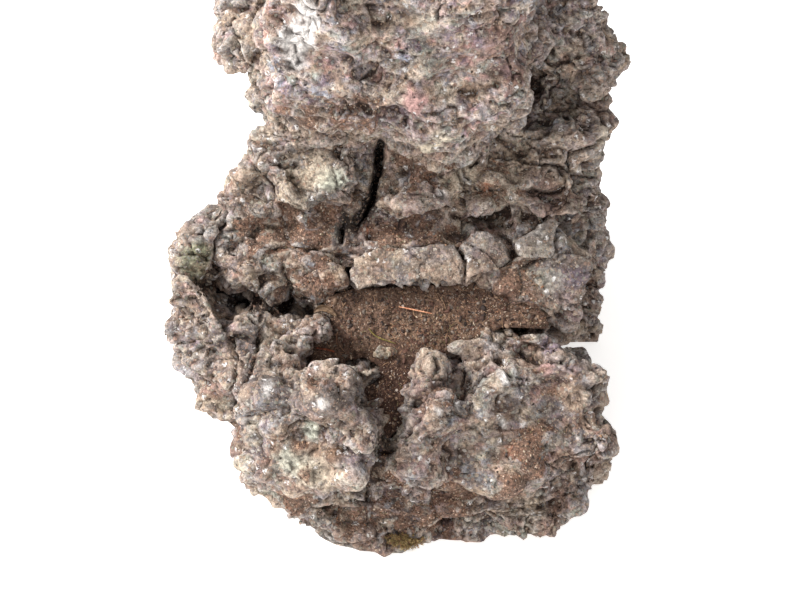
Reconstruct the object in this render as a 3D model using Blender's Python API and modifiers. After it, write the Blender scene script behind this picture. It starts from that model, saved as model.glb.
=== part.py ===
"""A rugged viewing stone of coarse volcanic breccia, standing on a flat cut base.

The stone is one solid: a leaning peak over stepped ledges, a basin below them, and two broad lobes that
close the basin in front. Old soil fills the basin, with a few dry needles, a twig, a leaf and pebbles lying
on it, and a small cushion of moss grows at the foot of the gully between the lobes.

Frame: metres, +Z up, the front towards -Y, origin on the cut base below the middle of the basin.
Blender 4.5: blender --background --python part.py
"""

import math

import bmesh
import bpy
from mathutils import Matrix, Vector, noise

MM = 0.001

# The ledges, the basin and the lobes follow one plane that leans back from the floor. Shapes on it are drawn
# in that leaning frame, in millimetres: x across, s up the slope, n outwards from it, measured from the
# middle of the basin.
SLOPE_DEG = 40.0
BASIN_HEIGHT = 91.0
ACROSS = Vector((1, 0, 0))
UPSLOPE = Vector((0, math.cos(math.radians(SLOPE_DEG)), math.sin(math.radians(SLOPE_DEG))))
OUTWARD = Vector((0, -math.sin(math.radians(SLOPE_DEG)), math.cos(math.radians(SLOPE_DEG))))

VOXEL = 4.0  # size of the cells that fuse the blocks into one skin
STONE_TRIANGLES = 7900  # faces the skin is thinned to before the hollows are cut
RIM = 2.5  # how far the rim of each block of the face is broken
GAP = 0.3  # clearance between pieces that touch
ABOVE_ALL = 60.0  # height n that clears the rock round the basin, for the tops of cutters
LEVEL = (0.0, 0.0)  # lean of a plane that faces straight outwards
FLOOR_CUT = 400.0  # side of the block that trims the stone flat at the floor

# Relief of the weathered skin. Swells: wavelength and height, and the same for the wider ones of the back,
# which begin behind BACK_START. Lumps of the breccia: size, height, slant and depth of the groove round
# each. Beds: their pitch, how far each steps back, how far they wander over what length, and the way they
# face.
SWELL = (46.0, 5.0)
BACK_SWELL = (88.0, 18.0)
BACK_START = 60.0
LUMPS = [(34.0, 2.6, 0.16, 2.2), (17.0, 1.3, 0.16, 1.0)]
GROOVE_WIDTH = 0.16  # of a lump's size
BED_PITCH = 17.0
BED_STEP = 3.2
BED_WANDER = (37.0, 6.0)
BED_WAY = Vector((0.22, -0.30, 0.93))

# Blocks of the face: outline as (x, s) points, height n of the front, its lean (dn/dx, dn/ds), and n of the
# back.
FACE_BLOCKS = {
    "head": ([(-66, 176), (-69, 137), (-64, 114), (-50, 99), (-25, 94), (10, 83), (35, 88), (72, 103),
              (71, 119), (45, 141), (22, 157), (15, 180)], 88, (0.0, 0.45), 10),
    "chin": ([(-55, 111), (-37, 95), (-11, 88), (13, 80), (42, 89), (66, 102), (42, 118)],
             55, (0.0, 0.6), 0),
    "brow_left": ([(-97, 185), (-98, 155), (-95, 145), (-87, 141), (-85, 130), (-82, 116), (-73, 110),
                   (-64, 114), (-53, 110), (-48, 190)], 45, (0.4, 0.0), -20),
    "crown_slope": ([(16, 200), (24, 166), (48, 150), (77, 128), (83, 142), (88, 195)],
                    42, (-0.4, 0.0), -30),
    "shoulder": ([(84, 195), (82, 139), (86, 111), (80, 88), (114, 81), (114, 98), (122, 106), (125, 122),
                  (127, 139), (126, 153), (120, 162), (112, 173), (100, 182)], 4, (-0.1, 0.12), -40),
    "column": ([(84, 84), (114, 82), (119, 74), (120, 60), (122, 38), (124, 12), (124, -6), (96, 6),
               (88, 40)], -32, (0.0, 0.5), -70),
    "throat": ([(-77, 120), (-77, 92), (-10, 80), (60, 78), (92, 66), (112, 67), (115, 84), (112, 120)],
               -8, (0.0, 0.0), -60),
    "pale_block": ([(-77, 97), (-74, 90), (-81, 86), (-88, 76), (-74, 56), (-26, 58), (-19, 78), (-16, 98),
                    (-39, 102), (-64, 108)], 12, (0.25, -0.1), -60),
    "upper_terrace": ([(-9, 96), (-11, 79), (-16, 59), (0, 52), (14, 53), (33, 63), (40, 54), (70, 53),
                       (94, 53), (104, 58), (101, 66), (97, 72), (102, 79), (100, 92), (82, 102), (45, 102)],
                      5, (0.0, -0.1), -60),
    "tongue": ([(-27, 37), (-14, 43), (11, 41), (45, 42), (55, 35), (62, 27), (53, 18), (34, 15), (11, 12),
                (-11, 12), (-25, 14)], 7, (0.0, -0.15), -40),
    "side_block": ([(57, 44), (64, 48), (92, 50), (91, 40), (88, 32), (78, 25), (69, 29), (61, 35)],
                   5, (0.0, -0.1), -40),
    "wall_plate": ([(50, 19), (68, 24), (88, 31), (98, 33), (103, 22), (106, 8), (101, -1), (95, -7),
                    (83, -2), (68, -4), (54, 3)], 1, (0.05, 0.0), -40),
    "low_left_block": ([(-95, 24), (-78, 35), (-57, 33), (-31, 28), (-28, 21), (-30, 11), (-40, 5), (-57, 8),
                        (-74, 6), (-91, 7)], 3, (0.0, -0.1), -40),
    "left_slope": ([(-112, 51), (-92, 77), (-74, 64), (-15, 64), (-15, 31), (-57, 30), (-79, 30), (-96, 20),
                    (-106, 37)], -3, (0.0, 0.0), -50),
    "middle_slope": ([(-20, 60), (88, 60), (84, 40), (92, 20), (55, 10), (-30, 10)], -4, (0.0, 0.0), -60),
    "left_lump": ([(-134, 28), (-126, 34), (-119, 41), (-111, 51), (-104, 47), (-103, 31), (-101, 10),
                   (-111, 12), (-127, 13), (-131, 21)], 2, (0.2, 0.0), -45),
    "left_low_block": ([(-129, 12), (-108, 12), (-99, 1), (-94, -12), (-94, -35), (-85, -44), (-89, -53),
                        (-90, -72), (-97, -69), (-114, -47), (-123, -33), (-130, -11)],
                       19, (0.35, 0.25), -45),
    "wedge": ([(-93, -5), (-81, -1), (-75, -9), (-74, -17), (-81, -34), (-85, -44), (-92, -40), (-94, -30)],
              22, (0.0, -0.1), -30),
    "left_crest": ([(-69, -14), (-65, -9), (-39, -7), (-40, -17), (-52, -22), (-52, -38), (-76, -54),
                    (-85, -44), (-81, -34), (-74, -19)], 22, (0.0, -0.3), -40),
    "left_lobe": ([(-74, -51), (-52, -38), (-40, -37), (-27, -42), (-20, -55), (-9, -62), (-9, -71),
                   (-18, -81), (-20, -96), (-54, -104), (-80, -94), (-87, -83), (-88, -72), (-85, -54)],
                  42, (0.3, 0.1), -60),
    "left_foot": ([(-92, -76), (-56, -70), (-21, -92), (-27, -109), (-24, -122), (-16, -140), (-39, -140),
                   (-50, -137), (-56, -129), (-70, -118), (-84, -98)], 13, (0.15, 0.5), -60),
    "right_crest": ([(4, -48), (12, -38), (32, -25), (58, -12), (82, -13), (91, -18), (92, -31), (67, -38),
                     (39, -45), (17, -58)], 13, (-0.05, -0.3), -60),
    "right_lobe": ([(7, -65), (17, -55), (39, -40), (66, -33), (91, -29), (101, -29), (114, -39), (115, -43),
                    (110, -61), (105, -75), (88, -97), (44, -102), (0, -97), (-4, -85)],
                   22, (-0.28, 0.1), -60),
    "right_foot": ([(-5, -87), (45, -76), (111, -71), (115, -73), (119, -80), (117, -91), (105, -108),
                    (99, -119), (91, -124), (62, -133), (40, -139), (17, -141), (-8, -142), (-16, -141),
                   (-9, -110)], 6, (0.0, 0.25), -60),
    "gully": ([(-24, -60), (8, -60), (0, -100), (-8, -142), (-26, -142), (-26, -100)], 9, (0.0, 0.25), -60),
    "basin_bed": ([(-46, -20), (60, -20), (30, -74), (-34, -74)], 10, (0.0, -0.26), -60),
    "basin_rock": ([(-31, -33), (-24, -29), (-14, -34), (-13, -41), (-18, -46), (-31, -44)],
                   20, (0.0, 0.0), -20),
}

# Blocks of the body behind and below the face: centre, size and turn about Z and X in degrees, upright
# frame, mm.
BODY_BLOCKS = {
    "foundation": ((8, 12, 18), (166, 176, 72), (4, 0)),
    "core": ((4, 26, 62), (172, 104, 48), (-3, 0)),
    "cliff": ((8, 92, 55), (170, 82, 140), (3, 0)),
    "back_left": ((-66, 78, 50), (62, 88, 130), (-14, 0)),
    "back_wall": ((20, 115, 70), (188, 46, 174), (-4, 3)),
    "back_foot": ((-18, 122, 29), (112, 44, 98), (12, -6)),
    "back_rib": ((62, 128, 84), (58, 34, 206), (24, 4)),
    "column_foot": ((112, 68, 20), (34, 54, 74), (4, 0)),
    "neck": ((4, 112, 180), (118, 52, 110), (7, 0)),
    "upper_back": ((6, 92, 222), (128, 82, 86), (-6, 4)),
    "peak": ((2, 74, 258), (112, 64, 54), (9, 8)),
    "summit": ((16, 78, 282), (66, 44, 40), (28, -6)),
    "brow_shelf": ((-54, 98, 190), (44, 60, 84), (20, 0)),
}

# Basin that holds the soil: its outline (x, s) and the height n of its floor. Cracks and hollows between
# blocks: the outline of each, and the heights n of its mouth and of its bottom.
BASIN_OUTLINE = [(-44, 3), (-28, 8), (10, 10), (48, 12), (62, 6), (82, -5), (84, -12), (58, -11), (32, -23),
                 (12, -36), (4, -46), (3, -62), (-7, -73), (-9, -62), (-18, -53), (-20, -47), (-12, -44),
                 (-10, -34), (-20, -28), (-32, -30), (-33, -41), (-42, -37), (-50, -36), (-50, -22),
                 (-39, -17), (-38, -8)]
BASIN_FLOOR = -17.0
CRACKS = {
    "main_crack": ([(-12, 96), (-8, 94), (-9, 78), (-13, 61), (-19, 50), (-25, 43), (-26, 46), (-21, 55),
                    (-18, 64), (-16, 78), (-15, 91)], 22, -32),
    "side_crack": ([(-34, 47), (-30, 49), (-31, 39), (-33, 33), (-36, 39)], 22, -16),
    "tongue_hole": ([(-31, 21), (-27, 22), (-26, 12), (-31, 11)], 22, -22),
    "left_cleft": ([(-110, 14), (-92, 6), (-93, -10), (-99, -2)], 40, -22),
    "crest_cleft": ([(-70, 2), (-50, 0), (-44, -6), (-62, -7)], 40, -20),
    "shoulder_pit": ([(83, 110), (87, 130), (97, 134), (106, 124), (105, 111), (96, 101)], 40, -16),
}

# Soil: the size of the flat cells of its top, how much its top falls forwards in front of the middle and
# behind it, how far it lies below the leaning plane, and the height and the two lengths of its unevenness.
SOIL_CELL = 8.0
SOIL_LEAN = 0.26
SOIL_LEAN_BEHIND = 0.1
SOIL_DROP = 0.8
SOIL_UNEVEN = (1.6, 19.0, 15.0)

# Dry litter on the soil: points (x, s) along each piece, and its thickness and width. A stiff piece spans
# the dips of the soil: its height is the mean of the soil's below it and the highest within LITTER_REACH of
# the piece.
LITTER_REACH = 4.0
LITTER_LIFT = 0.9
LITTER = {
    "needle_light": ([(-1.0, -0.6), (8.0, -2.4), (18.2, -4.6)], 0.9, 0.9),
    "needle_olive": ([(-18.0, -12.4), (-14.0, -17.0), (-9.0, -19.3), (-2.3, -21.5)], 0.9, 0.9),
    "twig": ([(-47.6, -24.0), (-41.5, -24.8), (-37.0, -26.2)], 1.2, 1.2),
    "dry_leaf": ([(-49.0, -4.0), (-43.0, -1.5), (-36.0, -6.5)], 0.5, 3.2),
}

# Pebble and moss: centre (x, s, n), half sizes across, up the slope and outwards, and turn within the slope
# in degrees.
PEBBLE = ((-8.5, -27.0, 6.4), (7.0, 3.6, 3.8), 4.0)
MOSS = ((3.0, -133.0, 3.0), (12.0, 5.0, 5.0), -6.0)

# Base colour and roughness.
MATERIALS = {
    "stone": ((0.21, 0.17, 0.145), 0.95),
    "soil": ((0.085, 0.055, 0.038), 1.0),
    "needle_light": ((0.42, 0.22, 0.10), 0.7),
    "needle_olive": ((0.16, 0.13, 0.05), 0.7),
    "twig": ((0.17, 0.07, 0.045), 0.75),
    "dry_leaf": ((0.24, 0.17, 0.10), 0.8),
    "pebble": ((0.24, 0.22, 0.19), 0.9),
    "moss": ((0.16, 0.15, 0.035), 1.0),
}


def face_point(x, s, n):
    """A point of the leaning frame, in millimetres, as a point of the upright frame in metres."""
    return (ACROSS * x + UPSLOPE * s + OUTWARD * n + Vector((0, 0, BASIN_HEIGHT))) * MM


def new_object(name, bm, collection):
    """Turns a bmesh into a named object in a collection."""
    mesh = bpy.data.meshes.new(name)
    bm.to_mesh(mesh)
    bm.free()
    obj = bpy.data.objects.new(name, mesh)
    collection.objects.link(obj)
    return obj


def grown(outline, distance):
    """The outline with every side moved outwards by distance, corners kept sharp."""
    area = sum(ax * by - bx * ay for (ax, ay), (bx, by) in zip(outline, outline[1:] + outline[:1]))
    side = 1.0 if area > 0 else -1.0
    result = []
    for before, here, after in zip(outline[-1:] + outline[:-1], outline, outline[1:] + outline[:1]):
        first = Vector((here[1] - before[1], before[0] - here[0])).normalized() * side
        second = Vector((after[1] - here[1], here[0] - after[0])).normalized() * side
        push = (first + second) * distance / max(0.4, 1.0 + first.dot(second))
        result.append((here[0] + push.x, here[1] + push.y))
    return result


def add_face_block(bm, outline, front, lean, back, chamfer):
    """Adds a prism on the leaning plane. Its front is a plane through height front at the middle of the
    outline, sloping by lean, and is drawn in by chamfer so that the rim is broken."""
    middle_x = sum(x for x, s in outline) / len(outline)
    middle_s = sum(s for x, s in outline) / len(outline)
    floor = bm.faces.new([bm.verts.new(face_point(x, s, back)) for x, s in outline])
    lid = bmesh.ops.extrude_face_region(bm, geom=[floor])["geom"]
    for vert in [g for g in lid if isinstance(g, bmesh.types.BMVert)]:
        x, s = vert.co.x / MM, (vert.co - face_point(0, 0, 0)).dot(UPSLOPE) / MM
        vert.co = face_point(x, s, front + lean[0] * (x - middle_x) + lean[1] * (s - middle_s))
    lid_faces = [g for g in lid if isinstance(g, bmesh.types.BMFace)]
    if chamfer > 0:
        bmesh.ops.inset_region(bm, faces=lid_faces, thickness=chamfer * MM, depth=0.0)
        for vert in {v for f in lid_faces for v in f.verts}:
            vert.co += OUTWARD * chamfer * 0.7 * MM
    bmesh.ops.recalc_face_normals(bm, faces=bm.faces)


def add_body_block(bm, centre, size, turn):
    """Adds a bevelled box of the upright frame, turned about Z and then X."""
    place = (
        Matrix.Translation(Vector(centre) * MM)
        @ Matrix.Rotation(math.radians(turn[0]), 4, "Z")
        @ Matrix.Rotation(math.radians(turn[1]), 4, "X")
        @ Matrix.Diagonal((*[edge * MM for edge in size], 1))
    )
    made = bmesh.ops.create_cube(bm, size=1.0, matrix=place)
    edges = {e for v in made["verts"] for e in v.link_edges}
    bmesh.ops.bevel(bm, geom=list(edges), offset=0.16 * min(size) * MM, segments=1, affect="EDGES")


def keep_largest_island(bm):
    """Deletes every closed shell but the one with the most faces, which drops hollows that the blocks seal
    in."""
    left, islands = set(bm.faces), []
    while left:
        stack = [left.pop()]
        island = list(stack)
        while stack:
            for edge in stack.pop().edges:
                for face in edge.link_faces:
                    if face in left:
                        left.remove(face)
                        stack.append(face)
                        island.append(face)
        islands.append(island)
    islands.sort(key=len)
    for island in islands[:-1]:
        bmesh.ops.delete(bm, geom=island, context="FACES")


def apply_modifiers(obj):
    """Replaces the object's mesh by what its modifiers make of it."""
    graph = bpy.context.evaluated_depsgraph_get()
    mesh = bpy.data.meshes.new_from_object(obj.evaluated_get(graph))
    obj.modifiers.clear()
    obj.data = mesh


def boolean(obj, other, operation):
    """Applies one exact Boolean modifier, with other as the second operand."""
    modifier = obj.modifiers.new(operation.lower(), "BOOLEAN")
    modifier.operation = operation
    modifier.object = other
    apply_modifiers(obj)


def weather(point, normal):
    """Distance in millimetres by which the weather has moved the skin at a point: broad swells, angular
    lumps of the breccia, each with its own height and slant and a groove round it, and tilted beds that
    stand out as steps."""
    p = point / MM
    behind = min(1.0, max(0.0, p.y / BACK_START - 1.0)) * max(0.0, normal.y)
    swell = noise.noise(p / SWELL[0]) * SWELL[1] + noise.noise(p / BACK_SWELL[0]) * BACK_SWELL[1] * behind
    lumps = 0.0
    for size, height, slant, groove in LUMPS:
        near, centres = noise.voronoi(p / size)
        pick = noise.cell_vector(centres[0] * 7.3)
        rise = (pick.x - 0.5) * 2.0 * height
        tilt = Vector((pick.y - 0.5, pick.z - 0.5, pick.x - 0.5)) * 2.0 * slant
        rim = max(0.0, 1.0 - (near[1] - near[0]) / GROOVE_WIDTH)
        lumps += rise + tilt.dot(p - centres[0] * size) - groove * rim
    bed = (p.dot(BED_WAY) + BED_WANDER[1] * noise.noise(p / BED_WANDER[0])) / BED_PITCH
    step = bed - math.floor(bed)
    beds = BED_STEP * (0.25 - step ** 3)
    return swell + lumps + beds * (1.0 - abs(normal.z) * 0.6)


def build_stone(collection):
    """The one solid of the stone before it is cut: blocks fused into one skin, weathered and thinned."""
    bm = bmesh.new()
    for outline, front, lean, back in FACE_BLOCKS.values():
        add_face_block(bm, outline, front, lean, back, RIM)
    for centre, size, turn in BODY_BLOCKS.values():
        add_body_block(bm, centre, size, turn)
    stone = new_object("stone", bm, collection)
    fuse = stone.modifiers.new("fuse", "REMESH")
    fuse.mode = "VOXEL"
    fuse.voxel_size = VOXEL * MM
    soften = stone.modifiers.new("soften", "SMOOTH")
    soften.factor = 0.5
    soften.iterations = 2
    apply_modifiers(stone)

    bm = bmesh.new()
    bm.from_mesh(stone.data)
    keep_largest_island(bm)
    bm.normal_update()
    moves = [v.normal * weather(v.co, v.normal) * MM for v in bm.verts]
    for vert, move in zip(bm.verts, moves):
        vert.co += move
    bm.to_mesh(stone.data)
    bm.free()

    stone.data.calc_loop_triangles()
    thin = stone.modifiers.new("thin", "DECIMATE")
    thin.ratio = STONE_TRIANGLES / len(stone.data.loop_triangles)
    thin.use_collapse_triangulate = True
    apply_modifiers(stone)
    return stone


def build_cutters(collection):
    """Helpers that are subtracted from the stone: basin, cracks, moss, and all that lies below the floor."""
    cutters = []
    bm = bmesh.new()
    add_face_block(bm, grown(BASIN_OUTLINE, GAP), ABOVE_ALL, LEVEL, BASIN_FLOOR - GAP, 0)
    cutters.append(new_object("basin_cutter", bm, collection))
    for name, (outline, top, bottom) in CRACKS.items():
        bm = bmesh.new()
        add_face_block(bm, outline, top, LEVEL, bottom, 0)
        cutters.append(new_object(name + "_cutter", bm, collection))
    bm = bmesh.new()
    add_lump(bm, MOSS, GAP)
    cutters.append(new_object("moss_cutter", bm, collection))
    bm = bmesh.new()
    bmesh.ops.create_cube(bm, size=FLOOR_CUT * MM, matrix=Matrix.Translation((0, 0, -FLOOR_CUT / 2 * MM)))
    cutters.append(new_object("floor_cutter", bm, collection))
    return cutters


def soil_height(x, s):
    """Height n of the soil: level with the slope under the ledges, banked up towards the front, gently
    uneven."""
    bank = -SOIL_LEAN * s if s < 0 else -SOIL_LEAN_BEHIND * s
    height, length_x, length_s = SOIL_UNEVEN
    return bank - SOIL_DROP + height * noise.noise(Vector((x / length_x, s / length_s, 3.1)))


def build_soil(collection, helpers):
    """The bed of soil: a slab that follows the soil height, cut to the outline of the basin."""
    lows, highs = [[pick(values) for values in zip(*BASIN_OUTLINE)] for pick in (min, max)]
    wide, long = [math.ceil((high - low) / SOIL_CELL) + 2 for low, high in zip(lows, highs)]
    bm = bmesh.new()
    bmesh.ops.create_grid(bm, x_segments=wide, y_segments=long, size=0.5)
    for vert in bm.verts:
        x = (lows[0] + highs[0]) / 2 + vert.co.x * wide * SOIL_CELL
        s = (lows[1] + highs[1]) / 2 + vert.co.y * long * SOIL_CELL
        vert.co = face_point(x, s, soil_height(x, s))
    bmesh.ops.triangulate(bm, faces=bm.faces)
    down = bmesh.ops.extrude_face_region(bm, geom=list(bm.faces))["geom"]
    for vert in [g for g in down if isinstance(g, bmesh.types.BMVert)]:
        height = (vert.co - face_point(0, 0, 0)).dot(OUTWARD)
        vert.co += OUTWARD * (2 * BASIN_FLOOR * MM - height)
    bmesh.ops.recalc_face_normals(bm, faces=bm.faces)
    soil = new_object("soil", bm, collection)
    bm = bmesh.new()
    add_face_block(bm, BASIN_OUTLINE, ABOVE_ALL, LEVEL, BASIN_FLOOR, 0)
    boolean(soil, new_object("soil_outline", bm, helpers), "INTERSECT")
    bm = bmesh.new()
    add_lump(bm, PEBBLE, GAP)
    boolean(soil, new_object("pebble_cutter", bm, helpers), "DIFFERENCE")
    return soil


def add_lump(bm, lump, extra):
    """Adds a rounded lump with flats, enlarged all round by extra."""
    centre, half, turn = lump
    place = Matrix((ACROSS, UPSLOPE, OUTWARD)).transposed().to_4x4()
    place.translation = face_point(*centre)
    scale = Matrix.Diagonal((*[(edge + extra) * MM for edge in half], 1))
    spin = Matrix.Rotation(math.radians(turn), 4, "Z")
    bmesh.ops.create_icosphere(bm, subdivisions=2, radius=1.0, matrix=place @ spin @ scale)


def add_litter(bm, points, thick, wide):
    """Adds a strip of litter along points (x, s) on the soil, six-sided in section, its ends closed."""
    around = (-LITTER_REACH, 0.0, LITTER_REACH)
    highest = max(soil_height(x + dx, s + ds) for x, s in points for dx in around for ds in around)
    rings = []
    for index, (x, s) in enumerate(points):
        before, after = points[max(0, index - 1)], points[min(len(points) - 1, index + 1)]
        along = Vector((after[0] - before[0], after[1] - before[1])).normalized()
        below = soil_height(x, s)
        height = max((highest + below) / 2, below + LITTER_LIFT) + GAP + thick / 2
        ring = []
        for corner in range(6):
            angle = math.radians(60 * corner)
            out = math.cos(angle) * wide / 2
            up = math.sin(angle) * thick / 2
            ring.append(bm.verts.new(face_point(x - along.y * out, s + along.x * out, height + up)))
        rings.append(ring)
    for ring, following in zip(rings, rings[1:]):
        for corner in range(6):
            turn = (corner + 1) % 6
            bm.faces.new((ring[corner], ring[turn], following[turn], following[corner]))
    bm.faces.new(rings[0])
    bm.faces.new(rings[-1])
    bmesh.ops.recalc_face_normals(bm, faces=bm.faces)


def paint(obj):
    """Gives the object its material: base colour and roughness."""
    colour, roughness = MATERIALS[obj.name]
    material = bpy.data.materials.new(obj.name)
    material.use_nodes = True
    shader = material.node_tree.nodes["Principled BSDF"]
    shader.inputs["Base Color"].default_value = (*colour, 1.0)
    shader.inputs["Roughness"].default_value = roughness
    shader.inputs["Metallic"].default_value = 0.0
    material.diffuse_color = (*colour, 1.0)
    obj.data.materials.clear()
    obj.data.materials.append(material)
    for polygon in obj.data.polygons:
        polygon.material_index = 0


def main():
    for obj in list(bpy.data.objects):
        bpy.data.objects.remove(obj)
    parts = bpy.data.collections.new("viewing_stone")
    helpers = bpy.data.collections.new("cutters")
    bpy.context.scene.collection.children.link(parts)
    bpy.context.scene.collection.children.link(helpers)
    stone = build_stone(parts)
    for cutter in build_cutters(helpers):
        boolean(stone, cutter, "DIFFERENCE")
    build_soil(parts, helpers)
    for name, lump in (("pebble", PEBBLE), ("moss", MOSS)):
        bm = bmesh.new()
        add_lump(bm, lump, 0.0)
        new_object(name, bm, parts)
    for name, (points, thick, wide) in LITTER.items():
        bm = bmesh.new()
        add_litter(bm, points, thick, wide)
        new_object(name, bm, parts)
    for obj in parts.objects:
        paint(obj)
    for helper in helpers.objects:
        helper.hide_render = True
        helper.display_type = "WIRE"


main()
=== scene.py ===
# %% [markdown]
# # A viewing stone with soil in its basin
#
# A viewing stone is a natural rock that is shown for its shape. This one has a peak that leans out over
# stepped ledges, a basin full of old soil, and two lobes that close the basin in front. The
# construction model already holds the stone as a faceted solid, with the soil, a pebble, moss and a
# little dry litter as solids of their own. This lesson gives each of them its real surface.

import math

import bmesh
import bpy
import numpy as np
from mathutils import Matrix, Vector


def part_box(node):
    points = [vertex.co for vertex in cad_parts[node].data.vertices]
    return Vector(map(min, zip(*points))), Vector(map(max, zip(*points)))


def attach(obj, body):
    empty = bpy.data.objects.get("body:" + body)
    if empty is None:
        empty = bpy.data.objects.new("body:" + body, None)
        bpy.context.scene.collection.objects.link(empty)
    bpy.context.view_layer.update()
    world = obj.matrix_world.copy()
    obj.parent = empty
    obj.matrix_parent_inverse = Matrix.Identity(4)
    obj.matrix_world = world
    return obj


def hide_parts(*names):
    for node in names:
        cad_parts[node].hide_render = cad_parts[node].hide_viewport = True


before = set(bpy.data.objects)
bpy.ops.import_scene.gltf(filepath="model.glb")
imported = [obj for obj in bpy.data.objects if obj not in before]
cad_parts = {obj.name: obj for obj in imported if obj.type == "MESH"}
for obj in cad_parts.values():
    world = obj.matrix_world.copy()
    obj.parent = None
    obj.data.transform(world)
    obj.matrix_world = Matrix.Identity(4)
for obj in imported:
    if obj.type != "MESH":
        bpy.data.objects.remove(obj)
bpy.context.view_layer.update()
MM = 0.001

# %% [markdown]
# ## The leaning frame
#
# The ledges, the basin and the lobes of the real stone all follow one slope that leans back from the
# floor. Places on it are easiest to give in the slope's own directions: x across, s up the slope and n
# outwards, in millimetres from the middle of the basin. It could be done with an empty and its matrix,
# but three dot products on whole arrays are quicker and keep every object at the origin.

# %% The leaning frame
SLOPE = math.radians(40)
BASIN_HEIGHT = 91.0
UPSLOPE = np.array((0.0, math.cos(SLOPE), math.sin(SLOPE)))
OUTWARD = np.array((0.0, -math.sin(SLOPE), math.cos(SLOPE)))
BASIN = np.array((0.0, 0.0, BASIN_HEIGHT))


def to_slope(points):
    """x, s and n of upright points in millimetres: the dot products of the point, less the basin's
    middle, with the slope's directions."""
    away = points - BASIN
    return away[:, 0], away @ UPSLOPE, away @ OUTWARD


print("up the slope is", UPSLOPE.round(2), "and outwards is", OUTWARD.round(2))

# %% [markdown]
# ## Noise on whole arrays
#
# Weathered rock repeats nothing, so its shape comes from noise. Blender's noise functions take one
# point at a time. These take every vertex at once: a smooth noise for swells, and a cell noise, whose
# cells become the angular lumps and flakes of a breccia. In every call the size of the noise is in
# millimetres, and the last whole number is its seed, which only picks one pattern among many.

# %% Random numbers for the cells of a lattice
PRIMES = np.array((73856093, 19349663, 83492791), np.uint32)
MIXERS = ((15, 0x2C1B3C6D), (12, 0x297A2D39))
LAST_SHIFT = 15
TEN_BITS = 1023
SEED_STEP = 40503
SEED_START = 12345


def hashed(cells, seed):
    """Three even random numbers from 0 to 1 for each row of whole numbers: the rows are multiplied by
    large primes, then mixed by shifts and exclusive or, and ten bits at a time are read out."""
    x, y, z = np.moveaxis(cells.astype(np.int64).astype(np.uint32) * PRIMES, -1, 0)
    h = x ^ y ^ z ^ np.uint32(seed * SEED_STEP + SEED_START)
    for shift, mixer in MIXERS:
        h = (h ^ (h >> np.uint32(shift))) * np.uint32(mixer)
    h = h ^ (h >> np.uint32(LAST_SHIFT))
    thirds = [(h >> np.uint32(shift)) & np.uint32(TEN_BITS) for shift in (0, 10, 20)]
    return np.stack(thirds, -1) / TEN_BITS


print("three numbers of one cell", hashed(np.ones((1, 3)), 1).round(2))

# %% Smooth noise


def smooth_noise(points, size, seed):
    """Value noise from -1 to 1 at points in millimetres: random values on a lattice of pitch size,
    blended between its eight corners with the fade 3t^2 - 2t^3."""
    p = points / size
    base = np.floor(p)
    t = p - base
    t = t * t * (3.0 - 2.0 * t)
    total = np.zeros(len(points))
    for corner in np.ndindex(2, 2, 2):
        weight = np.prod(np.where(corner, t, 1.0 - t), axis=1)
        total += weight * hashed(base + corner, seed)[:, 0]
    return total * 2.0 - 1.0


def layered_noise(points, size, layers, seed):
    """A sum of smooth noises, each half the size and half the height of the one before."""
    return sum(smooth_noise(points, size / 2**k, seed + k) / 2**k for k in range(layers))


print("smooth noise at three points", smooth_noise(np.eye(3), 2.0, 1).round(2))

# %% Cell noise
FAR_OFF = 9.0


def near_cells(points, size, seed, stretch):
    """The 27 cells of a lattice of pitch size * stretch round each point, one after another: the cell,
    and the way to the point from the one centre that lies in it, as shares of a cell."""
    p = points / (size * np.array(stretch))
    base = np.floor(p)
    for step in np.ndindex(3, 3, 3):
        cell = base + (np.array(step) - 1)
        yield cell, p - cell - (0.1 + 0.8 * hashed(cell, seed))


def cell_noise(points, size, seed, stretch=(1.0, 1.0, 1.0)):
    """Cell noise: the distances to the nearest and the next centre of a cell, as shares of a cell, and
    the nearest centre's three random numbers."""
    first = np.full(len(points), FAR_OFF)
    second = np.full(len(points), FAR_OFF)
    tag = np.zeros((len(points), 3))
    for cell, offset in near_cells(points, size, seed, stretch):
        distance = np.sqrt((offset * offset).sum(1))
        nearer = distance < first
        second = np.where(nearer, first, np.minimum(second, distance))
        first = np.where(nearer, distance, first)
        tag[nearer] = hashed(cell[nearer], seed + 77)
    return first, second, tag


def broken_faces(points, size, tilt, hollow, seed, stretch=(1.0, 1.0, 1.0)):
    """Height in millimetres of a surface of broken faces: every cell has its own slanting bowl, slant .
    offset + hollow * offset^2, and the lowest bowl is the one that shows. So the faces are nearly flat,
    and they meet in sharp ridges."""
    least = np.full(len(points), FAR_OFF)
    for cell, offset in near_cells(points, size, seed, stretch):
        slant = ((hashed(cell, seed + 31) - 0.5) * offset).sum(1) * 2.0 * tilt
        least = np.minimum(least, slant + hollow * (offset * offset).sum(1))
    return (least - least.mean()) * size


print("distances to two centres", [part.round(2) for part in cell_noise(np.eye(3)[:1], 2.0, 1)[:2]])

# %% [markdown]
# ## The camera
#
# The stone is seen from in front and from well above, square on to the slope. The camera could be aimed
# with a constraint, but a rotation worked out once keeps the scene free of links between objects.

# %% Camera
PICTURE_WIDTH = 800
FOCAL_PIXELS = 1269.0
SENSOR_WIDTH = 36.0
LOOK_DOWN = math.radians(50)
CAMERA_DISTANCE = 0.723

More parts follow.
